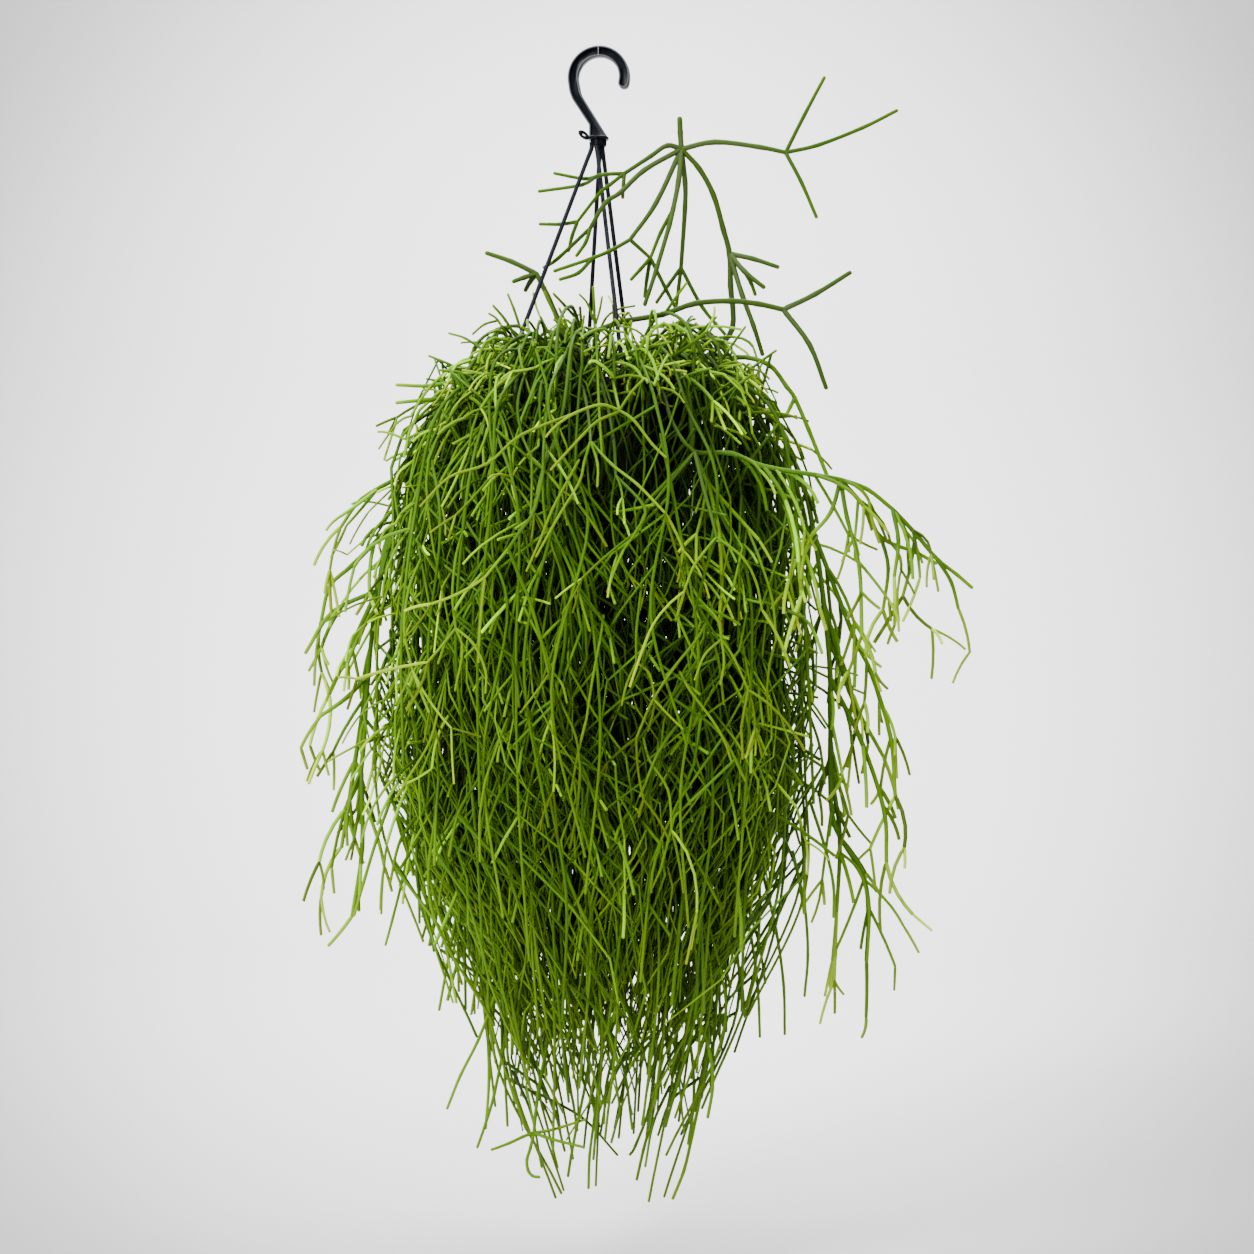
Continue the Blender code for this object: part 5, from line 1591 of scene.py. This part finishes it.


# Stems listed one by one, in millimetres: the arches, whorls and bright forks that stand out at
# the front of the crown with the few erect shoots on top, and the long low tips, one curled.
FRONT_STEMS = (
    # first and last radius, first and last age, whether it ends in a whorl, points
    ((2.4, 1.9), (1.0, 0.75), True,
     ((-32, -63, -271), (-14, -87, -281), (1, -112, -303), (8, -135, -328), (13, -147, -356),
      (15, -159, -387))),
    ((2.2, 1.7), (1.0, 0.8), False,
     ((-32, -63, -271), (-20, -96, -287), (-11, -129, -319), (-7, -150, -344), (-6, -165, -359))),
    ((2.0, 1.5), (0.95, 0.5), True,
     ((-32, -63, -271), (-50, -81, -279), (-62, -108, -296), (-68, -132, -325), (-64, -147, -351),
      (-55, -159, -372))),
    ((1.9, 1.4), (0.95, 0.5), True,
     ((-32, -63, -271), (-44, -96, -288), (-49, -129, -314), (-48, -144, -343), (-42, -156, -366))),
    ((1.8, 1.4), (0.8, 0.4), True,
     ((-50, -81, -279), (-76, -90, -274), (-90, -108, -290), (-92, -126, -321), (-90, -141, -356),
      (-85, -153, -382))),
    ((2.3, 1.9), (1.0, 0.7), False,
     ((45, -69, -289), (56, -108, -315), (61, -129, -336), (71, -141, -356), (81, -141, -366))),
    ((2.2, 1.8), (0.9, 0.6), True,
     ((81, -141, -366), (88, -159, -398), (94, -171, -421), (98, -180, -439))),
    ((1.8, 1.5), (0.7, 0.4), True,
     ((81, -141, -366), (56, -162, -398), (39, -177, -420), (35, -183, -433))),
    ((1.7, 1.6), (0.5, 0.3), False, ((11, -96, -294), (14, -135, -313), (18, -162, -333))),
    ((1.7, 1.45), (0.25, 0.05), False,
     ((18, -162, -333), (2, -168, -329), (-19, -177, -337), (-32, -183, -346))),
    ((1.4, 1.2), (0.1, 0.0), False, ((-32, -183, -346), (-38, -186, -352), (-42, -188, -357))),
    ((1.6, 1.2), (0.2, 0.0), False,
     ((-19, -177, -337), (-63, -188, -356), (-90, -188, -379), (-121, -188, -390), (-145, -188, -414))),
    ((1.7, 1.4), (0.25, 0.02), False,
     ((18, -162, -334), (0, -171, -343), (-13, -180, -356), (-38, -188, -384))),
    ((1.7, 1.4), (0.3, 0.1), True,
     ((18, -162, -333), (30, -168, -342), (45, -174, -362), (56, -177, -373))),
    ((1.6, 1.4), (0.3, 0.05), False, ((18, -162, -333), (28, -162, -318), (38, -159, -307))),
    ((1.6, 1.3), (0.4, 0.1), False,
     ((-6, -165, -359), (-11, -174, -377), (-15, -180, -394), (-31, -188, -421), (-50, -188, -455))),
    ((1.6, 1.4), (0.4, 0.1), True,
     ((-6, -165, -359), (12, -174, -379), (33, -183, -396), (55, -188, -419))),
    ((1.5, 1.3), (0.4, 0.1), False, ((-6, -165, -359), (-0, -174, -378), (0, -180, -397))),
    ((2.0, 1.8), (0.8, 0.6), False,
     ((-42, -156, -366), (-51, -188, -415), (-63, -188, -434), (-73, -188, -449))),
    ((1.9, 1.7), (0.6, 0.3), True,
     ((-73, -188, -449), (-63, -188, -474), (-55, -188, -493), (-46, -188, -524), (-40, -188, -550))),
    ((1.6, 1.4), (0.4, 0.1), True, ((-73, -188, -449), (-83, -188, -461), (-92, -188, -472))),
    ((1.6, 1.3), (0.3, 0.05), False,
     ((-15, -177, -375), (-36, -188, -415), (-47, -188, -442), (-58, -188, -467))),
    ((1.5, 1.3), (0.35, 0.1), True,
     ((98, -180, -439), (87, -188, -452), (78, -188, -465), (71, -188, -484))),
    ((1.5, 1.3), (0.35, 0.1), True,
     ((98, -180, -439), (119, -188, -456), (130, -188, -476), (135, -188, -499))),
    ((1.7, 1.4), (0.6, 0.3), True,
     ((15, -159, -387), (39, -180, -415), (32, -188, -434), (22, -188, -449))),
    ((1.9, 1.5), (0.6, 0.2), False, ((-30, -20, -268), (-39, -22, -238), (-49, -24, -215))),
    ((1.9, 1.6), (0.6, 0.2), False, ((-23, -15, -265), (-30, -17, -243), (-36, -18, -229))),
    ((2.0, 1.6), (0.6, 0.2), False, ((-4, -10, -260), (-5, -12, -229), (-6, -12, -209))),
    ((1.5, 1.3), (0.4, 0.1), False, ((-5, -11, -240), (-11, -14, -224), (-18, -16, -216))),
    ((1.5, 1.3), (0.4, 0.1), False, ((-4, -11, -243), (0, -12, -229), (2, -14, -218))),
    ((1.6, 1.3), (0.4, 0.1), False, ((-4, -10, -260), (4, -14, -239), (15, -18, -230), (31, -22, -227))),
    ((1.6, 1.3), (0.5, 0.1), False, ((-79, -10, -260), (-91, -14, -239), (-99, -16, -233))),
    ((1.5, 1.3), (0.4, 0.1), False, ((-91, -14, -239), (-103, -18, -243), (-113, -22, -252))),
    ((1.6, 1.4), (0.5, 0.3), False,
     ((-114, -150, -436), (-118, -164, -457), (-120, -172, -487), (-117, -176, -514))),
    ((1.5, 1.25), (0.3, 0.05), False,
     ((-117, -176, -514), (-102, -180, -527), (-92, -182, -549), (-92, -183, -567))),
    ((1.5, 1.25), (0.3, 0.05), True, ((-117, -176, -514), (-127, -178, -527), (-140, -178, -542))),
    ((1.4, 1.2), (0.35, 0.1), False, ((-117, -176, -514), (-111, -180, -532), (-117, -182, -565))),
    ((1.6, 1.45), (0.5, 0.3), False,
     ((-65, -160, -489), (-55, -174, -508), (-44, -180, -530), (-38, -183, -549))),
    ((1.4, 1.25), (0.3, 0.1), True, ((-38, -183, -549), (-36, -186, -575), (-38, -187, -589))),
    ((1.4, 1.2), (0.3, 0.1), False, ((-38, -183, -549), (-29, -185, -560), (-25, -186, -575))),
    ((1.4, 1.2), (0.3, 0.05), False, ((-38, -183, -549), (-49, -186, -565), (-63, -187, -583))),
    ((1.6, 1.3), (0.4, 0.08), True,
     ((90, -165, -509), (82, -176, -523), (64, -184, -545), (45, -187, -574), (32, -187, -604))),
    ((1.6, 1.4), (0.5, 0.3), False,
     ((37, -160, -472), (35, -172, -491), (32, -180, -517), (32, -184, -542))),
    ((1.4, 1.2), (0.3, 0.05), False, ((32, -184, -542), (24, -187, -560), (20, -187, -577))),
    ((1.4, 1.2), (0.3, 0.1), True, ((32, -184, -542), (43, -186, -552), (47, -187, -573))),
    ((1.6, 1.4), (0.5, 0.3), False,
     ((77, -160, -478), (85, -170, -491), (99, -178, -507), (102, -181, -523))),
    ((1.4, 1.2), (0.3, 0.1), False, ((102, -181, -523), (104, -184, -542), (101, -185, -560))),
    ((1.4, 1.2), (0.3, 0.1), True, ((102, -181, -523), (113, -182, -540), (124, -182, -565))),
    ((1.4, 1.2), (0.3, 0.05), False, ((102, -181, -523), (88, -185, -536), (80, -187, -556))),
    ((1.5, 1.25), (0.3, 0.04), False,
     ((68, -170, -550), (76, -180, -565), (94, -185, -589), (104, -185, -606), (110, -184, -623))),
    ((1.5, 1.3), (0.4, 0.2), True,
     ((-35, -165, -557), (-31, -178, -573), (-18, -184, -602), (-14, -186, -630))),
    ((1.4, 1.2), (0.35, 0.05), False,
     ((-127, -150, -557), (-131, -158, -574), (-139, -162, -607), (-156, -160, -636),
      (-169, -156, -657))),
    ((1.5, 1.3), (0.4, 0.2), True,
     ((38, -165, -605), (43, -178, -623), (58, -184, -647), (61, -185, -680))),
    ((1.5, 1.3), (0.4, 0.2), True,
     ((-75, -160, -589), (-81, -172, -606), (-92, -178, -639), (-97, -178, -668))),
    ((1.5, 1.3), (0.4, 0.2), True,
     ((5, -165, -503), (2, -178, -524), (-4, -185, -556), (-9, -187, -589))),
    ((1.5, 1.3), (0.5, 0.2), True,
     ((126, -140, -432), (135, -156, -457), (145, -164, -491), (148, -164, -524))),
    ((1.5, 1.3), (0.5, 0.2), True,
     ((-150, -130, -456), (-159, -142, -482), (-162, -148, -516), (-155, -150, -549))),
)
LOW_STEMS = (
    ((1.35, 1.15), (0.5, 0.2), False,
     ((-71, -30, -760), (-81, -40, -798), (-92, -48, -837), (-106, -52, -875), (-122, -50, -907),
      (-134, -45, -937))),
    ((1.35, 1.15), (0.5, 0.25), False,
     ((-62, -20, -783), (-71, -30, -831), (-83, -38, -878), (-93, -40, -926), (-101, -38, -953),
      (-108, -36, -973))),
    ((1.5, 1.35), (0.6, 0.4), False,
     ((-35, -40, -781), (-38, -50, -828), (-45, -58, -874), (-53, -60, -918), (-56, -60, -942),
      (-57, -60, -955))),
    ((1.3, 1.1), (0.4, 0.25), False,
     ((-57, -60, -955), (-60, -62, -968), (-63, -63, -978), (-62, -64, -987), (-58, -64, -992),
      (-52, -64, -993))),
    ((1.3, 1.1), (0.4, 0.2), False,
     ((-57, -60, -955), (-67, -64, -958), (-78, -70, -962), (-93, -78, -966))),
    ((1.3, 1.1), (0.4, 0.2), False,
     ((-57, -60, -955), (-46, -66, -958), (-32, -70, -961), (-14, -76, -964))),
    ((1.3, 1.1), (0.4, 0.2), False,
     ((-57, -60, -955), (-45, -62, -953), (-33, -66, -949), (-12, -72, -941))),
    ((1.35, 1.15), (0.5, 0.3), False,
     ((0, -30, -808), (-5, -34, -861), (-12, -36, -914), (-20, -34, -954), (-25, -32, -981),
      (-28, -30, -1000))),
    ((1.35, 1.15), (0.5, 0.2), False,
     ((11, -10, -802), (6, -14, -855), (0, -16, -909), (-5, -18, -953), (-9, -20, -984),
      (-10, -20, -1013))),
    ((1.4, 1.15), (0.5, 0.2), False,
     ((57, -20, -810), (57, -28, -862), (53, -32, -910), (46, -30, -950), (39, -28, -977),
      (33, -26, -1004))),
    ((1.5, 1.2), (0.55, 0.15), False,
     ((80, -25, -782), (91, -30, -831), (96, -34, -874), (91, -36, -918), (82, -34, -963),
      (75, -32, -994), (65, -30, -1020))),
    ((1.5, 1.25), (0.55, 0.3), False,
     ((49, -45, -780), (66, -55, -818), (85, -60, -852), (97, -62, -887), (99, -60, -916),
      (95, -58, -942))),
    ((1.35, 1.15), (0.5, 0.3), False,
     ((36, 0, -777), (45, 5, -840), (50, 8, -895), (45, 8, -945), (32, 6, -981), (27, 5, -989))),
    ((1.35, 1.15), (0.5, 0.3), False,
     ((65, 20, -806), (76, 25, -862), (84, 28, -908), (85, 28, -949), (80, 26, -984))),
    ((1.35, 1.15), (0.5, 0.2), False,
     ((-91, 10, -760), (-98, 15, -815), (-102, 18, -870), (-101, 18, -924), (-104, 18, -968))),
    ((1.3, 1.1), (0.5, 0.2), False,
     ((100, -20, -747), (114, -28, -782), (125, -30, -822), (129, -30, -859))),
    ((1.3, 1.1), (0.5, 0.3), False,
     ((121, -10, -740), (134, -14, -784), (141, -16, -833), (143, -16, -879))),
    ((1.3, 1.1), (0.5, 0.3), False,
     ((147, 20, -734), (160, 24, -789), (167, 26, -839), (168, 26, -884))),
    ((1.3, 1.1), (0.5, 0.15), False,
     ((-115, -30, -711), (-125, -34, -759), (-134, -36, -808), (-142, -34, -852))),
    ((1.3, 1.1), (0.5, 0.2), False,
     ((-94, -50, -718), (-99, -56, -770), (-106, -58, -813), (-112, -56, -852))),
    ((1.3, 1.1), (0.5, 0.15), False,
     ((-183, -20, -658), (-197, -26, -698), (-209, -28, -738), (-218, -28, -769))),
    ((1.3, 1.1), (0.5, 0.2), False,
     ((-169, 0, -696), (-178, 0, -741), (-187, 0, -777), (-193, 0, -799))),
    ((1.3, 1.1), (0.5, 0.3), False,
     ((213, -10, -713), (231, -14, -730), (240, -16, -761), (239, -16, -810))),
    ((1.3, 1.1), (0.5, 0.25), False,
     ((187, -20, -667), (201, -24, -711), (208, -24, -743), (208, -24, -771))),
    ((1.3, 1.1), (0.5, 0.3), False,
     ((174, 10, -715), (185, 12, -765), (188, 12, -810), (185, 12, -847))),
)
FRONT_SHOOTS = (
    ((2, 3), (0.030, 0.075), (20, 60), (0.1, 0.6), (1.10, 0.98), 1.0, LONG_STEPS),
    ((2, 3), (0.018, 0.048), (18, 52), (0.0, 0.5), (1.00, 0.88), 0.6, SHORT_STEPS),
)


def make_by_hand(name, stems, shade, girth, sides, tree, finish):
    chance = np.random.default_rng(17)
    rows = []
    for radii, ages, whorl, points in stems:
        path = eased(np.array(points, float) * MM, 4)
        tone = shade * chance.uniform(0.8, 1.15)
        first, last = (girth * radius for radius in radii)
        rows.append(eased_line(path, swollen(first, last, len(path), 4), *ages, tone, neck=True))
        take_up(path)
        if whorl:
            way = unit(path[-1:] - path[-2:-1])
            age = np.array([ages[1]])
            rows += shoots_on(path[-1:], way, age, FRONT_SHOOTS, kept_free, sagging, tone, chance)
    stem_piece(name, [], rows, sides, tree, finish)


make_by_hand("front_stems", FRONT_STEMS, 0.58, 0.72, 8, round_sweep, stem_green)
make_by_hand("low_stems", LOW_STEMS, 0.95, 1.0, 6, round_sweep, stem_green)


# Filling stems: more rooted stems of the same kind, closer set than the solids, which arch
# over the rim on every side and close the curtain round the pot.
FILLING_SEED = 23
FILLING = 104
FILLING_PIECES = 6
GOLDEN_TURN = 2.39996  # in radians; it spreads any number of feet evenly round the pot


def filling_line(azimuth, foot, hang, arch, depth, chance):
    """A rooted line: up from the soil, over the rim and down outside the pot."""
    beyond = RIM_RADIUS + chance.uniform(6, 16) * MM
    stations = [
        (foot, SOIL_TOP - 4 * MM),
        (foot + 4 * MM, SOIL_TOP + 16 * MM),
        (foot + 0.35 * (beyond - foot), RIM_TOP + 0.75 * arch),
        (foot + 0.70 * (beyond - foot), RIM_TOP + arch),
        (beyond, RIM_TOP + 0.55 * arch),
        (beyond + 0.55 * (hang - beyond), RIM_TOP - 22 * MM),
        (hang, RIM_TOP - 72 * MM),
    ]
    side = chance.normal(0.0, 0.10)
    swing = np.linspace(0.0, 1.0, len(stations))
    points = [
        (*polar(r, azimuth + side * s), z)
        for (r, z), s in zip(stations, swing)
    ]
    phase = chance.uniform(0.0, 2 * math.pi)
    for z in np.arange(RIM_TOP - 0.13, -depth, -0.06):
        turn = azimuth + side + 0.11 * math.sin(phase + 24.0 * z)
        wide = min(hang, 0.99 * float(bunched_reach(z, turn))) + 4 * MM * math.sin(2 * phase + 30.0 * z)
        points.append((*polar(wide, turn), z))
    return np.array(points)


def make_filling(tree, finish):
    """The filling stems, and the thin side stems that hang from them and from the solids' lines."""
    chance = np.random.default_rng(FILLING_SEED)
    groups = [[] for _ in range(FILLING_PIECES)]
    fine = [[] for _ in range(FINE_PIECES)]
    for i in range(FILLING):
        azimuth = GOLDEN_TURN * i + chance.uniform(-0.15, 0.15)
        foot = 0.085 * math.sqrt(chance.uniform(0.08, 1.0))
        hang = chance.uniform(0.112, 0.178)
        arch = chance.uniform(0.010, 0.050)
        depth = min(chance.uniform(0.40, 0.72), lowest(hang, azimuth))
        path = eased(filling_line(azimuth, foot, hang, arch, depth, chance), 3)
        if (((path - POT_GAP) / POT_GAP_SIZE) ** 2).sum(-1).min() < 1.0:
            continue
        tone = chance.uniform(0.82, 1.12)
        rows = [eased_line(path, swollen(1.5, 1.05, len(path), 9), 0.95, 0.3, 0.65 * tone, neck=False)]
        take_up(path)
        rows += bushy(path, 0.9, 0.3, tone, chance)
        groups[sector(path, FILLING_PIECES)] += rows
        fine[sector(path, FINE_PIECES)] += fine_lines(path, FINE_LINES, tone, chance)
    for path in trailing_paths:
        tone = chance.uniform(0.82, 1.12)
        fine[sector(path, FINE_PIECES)] += fine_lines(path, FINE_LINES, tone, chance)
    for k, rows in enumerate(groups):
        stem_piece(f"filling_stems_{k + 1}", [], rows, 5, tree, finish)
    for k, rows in enumerate(fine):
        stem_piece(f"fine_stems_{k + 1}", [], rows, 4, tree, finish)


make_filling(round_sweep, stem_green)


# Crown tufts: short young stems that rise all over the soil among the arching ones and
# branch at once into dense bright sprays. They close the crown over the soil.
TUFT_SEED = 5
TUFTS = 150
TUFT_PIECES = 4
TUFT_SPREAD = 0.078


def make_tufts(tree, finish):
    chance = np.random.default_rng(TUFT_SEED)
    groups = [[] for _ in range(TUFT_PIECES)]
    for i in range(TUFTS):
        azimuth = GOLDEN_TURN * i + chance.uniform(-0.2, 0.2)
        far = TUFT_SPREAD * math.sqrt((i + 0.5) / TUFTS)
        foot = np.array((*polar(far, azimuth), SOIL_TOP - 4 * MM))
        lean = 1.1 * far / TUFT_SPREAD
        way = np.array((*polar(lean, azimuth), 1.0)) + chance.normal(0, 0.18, 3)
        length = np.array([chance.uniform(0.030, 0.068)])
        points, after = curved(foot[None], unit(way[None]), length, np.array([0.1]), LONG_STEPS, chance)
        tone = chance.uniform(0.85, 1.15)
        rows = rows_of(points, LONG_STEPS, (1.7, 1.45), [0.9], [0.5], tone, chance)
        rows += shoots_on(points[:, -1], after, np.array([0.4]), TUFT_SHOOTS, kept_in, upwards, tone, chance)
        groups[i % TUFT_PIECES] += rows
    for k, rows in enumerate(groups):
        stem_piece(f"crown_tufts_{k + 1}", [], rows, 5, tree, finish)


make_tufts(round_sweep, stem_green)


# Stage: one pale grey sheet of studio paper, a floor that sweeps up into the wall behind.
# Painted shade darkens it in a ring away from the middle of the picture as seen from the camera's place;
# further out, and on the floor in front, it is pale again.
CAMERA_PLACE = (0.0243, -2.1, -0.513)
FLOOR = -1.100
FLOOR_FRONT = -2.2
WALL_START = 2.2
SWEEP_RADIUS = 1.2
SHEET_HALF = 2.2
PALE = 0.88


def make_sheet():
    profile = [(FLOOR_FRONT, FLOOR), (WALL_START, FLOOR)]
    profile += arc((WALL_START, FLOOR + SWEEP_RADIUS), SWEEP_RADIUS, -85.0, -5.0, 17)
    profile += [(WALL_START + SWEEP_RADIUS, FLOOR + SWEEP_RADIUS), (WALL_START + SWEEP_RADIUS, 5.0)]
    verts = [(side * SHEET_HALF, y, z) for side in (-1, 1) for y, z in profile]
    count = len(profile)
    faces = [(i, count + i, count + i + 1, i + 1) for i in range(count - 1)]
    mesh = bpy.data.meshes.new("studio_paper")
    mesh.from_pydata(verts, [], faces)
    mesh.shade_smooth()
    sheet = placed("studio_paper", mesh)
    finish, tree, shader = shader_of("studio_paper")
    place = node(tree, "ShaderNodeVectorMath", operation="SUBTRACT")
    tree.links.new(node(tree, "ShaderNodeTexCoord").outputs["Object"], place.inputs[0])
    place.inputs[1].default_value = CAMERA_PLACE
    parts = node(tree, "ShaderNodeSeparateXYZ")
    tree.links.new(place.outputs["Vector"], parts.inputs[0])
    slope = node(tree, "ShaderNodeVectorMath", operation="DIVIDE")
    tree.links.new(place.outputs["Vector"], slope.inputs[0])
    tree.links.new(parts.outputs["Y"], slope.inputs[1])
    reach_out = node(tree, "ShaderNodeVectorMath", operation="LENGTH")
    tree.links.new(slope.outputs["Vector"], reach_out.inputs[0])
    far = reach_out.outputs["Value"]
    # Painted shade: the paper goes from 0.95 down to 0.335 in a ring round the picture's middle, then pale
    # again further out
    paper = node(tree, "ShaderNodeMath", operation="ADD")
    tree.links.new(spread_to(tree, far, 0.95, 0.335, 1.004, 1.072, "SMOOTHSTEP"), paper.inputs[0])
    tree.links.new(spread_to(tree, far, 0.0, 0.54, 1.072, 1.10, "SMOOTHSTEP"), paper.inputs[1])
    shown = node(tree, "ShaderNodeMix", data_type="FLOAT")
    tree.links.new(spread_to(tree, parts.outputs["Y"], 0.0, 1.0, 1.2, 2.15), shown.inputs[0])
    shown.inputs[2].default_value = PALE
    tree.links.new(paper.outputs[0], shown.inputs[3])
    tree.links.new(shown.outputs[0], shader.inputs["Base Color"])
    shader.inputs["Roughness"].default_value = 0.9
    shader.inputs["Specular IOR Level"].default_value = 0.1
    mesh.materials.append(finish)


make_sheet()


# Light: a soft key from the upper left in front, a weaker fill from the right, a little
# from above, and an even pale surround.
VIEW_WIDTH = 1.1286


def area_light(name, place, target, size, power):
    lamp = bpy.data.lights.new(name, "AREA")
    lamp.size = size
    lamp.energy = power
    thing = placed(name, lamp)
    thing.location = place
    thing.rotation_euler = (Vector(target) - Vector(place)).to_track_quat("-Z", "Y").to_euler()
    thing.visible_camera = False


def make_light():
    area_light("key", (-1.5, -1.9, 1.15), (0.0, 0.0, -0.45), 0.8, 150.0)
    area_light("fill", (1.9, -1.8, -0.2), (0.0, 0.0, -0.55), 1.8, 10.0)
    area_light("backdrop", (0.0, 1.0, 2.4), (0.0, 3.3, -0.5), 3.0, 420.0)
    area_light("top", (0.3, -1.4, 1.3), (0.0, 0.0, -0.5), 1.4, 35.0)
    world = bpy.data.worlds.new("studio")
    world.use_nodes = True
    world.node_tree.nodes["Background"].inputs["Color"].default_value = (0.97, 0.98, 1.0, 1.0)
    tree = world.node_tree
    shown = node(tree, "ShaderNodeMath", operation="MULTIPLY_ADD")
    shown.inputs[1].default_value = 2.0
    shown.inputs[2].default_value = 0.22
    tree.links.new(node(tree, "ShaderNodeLightPath").outputs["Is Camera Ray"], shown.inputs[0])
    tree.links.new(shown.outputs[0], tree.nodes["Background"].inputs["Strength"])
    bpy.context.scene.world = world


def make_camera():
    lens = bpy.data.cameras.new("camera")
    lens.sensor_width = 36.0
    lens.lens = 36.0 * -CAMERA_PLACE[1] / VIEW_WIDTH
    camera = placed("camera", lens)
    camera.location = CAMERA_PLACE
    camera.rotation_euler = (math.pi / 2, 0.0, 0.0)
    bpy.context.scene.camera = camera


make_light()
make_camera()
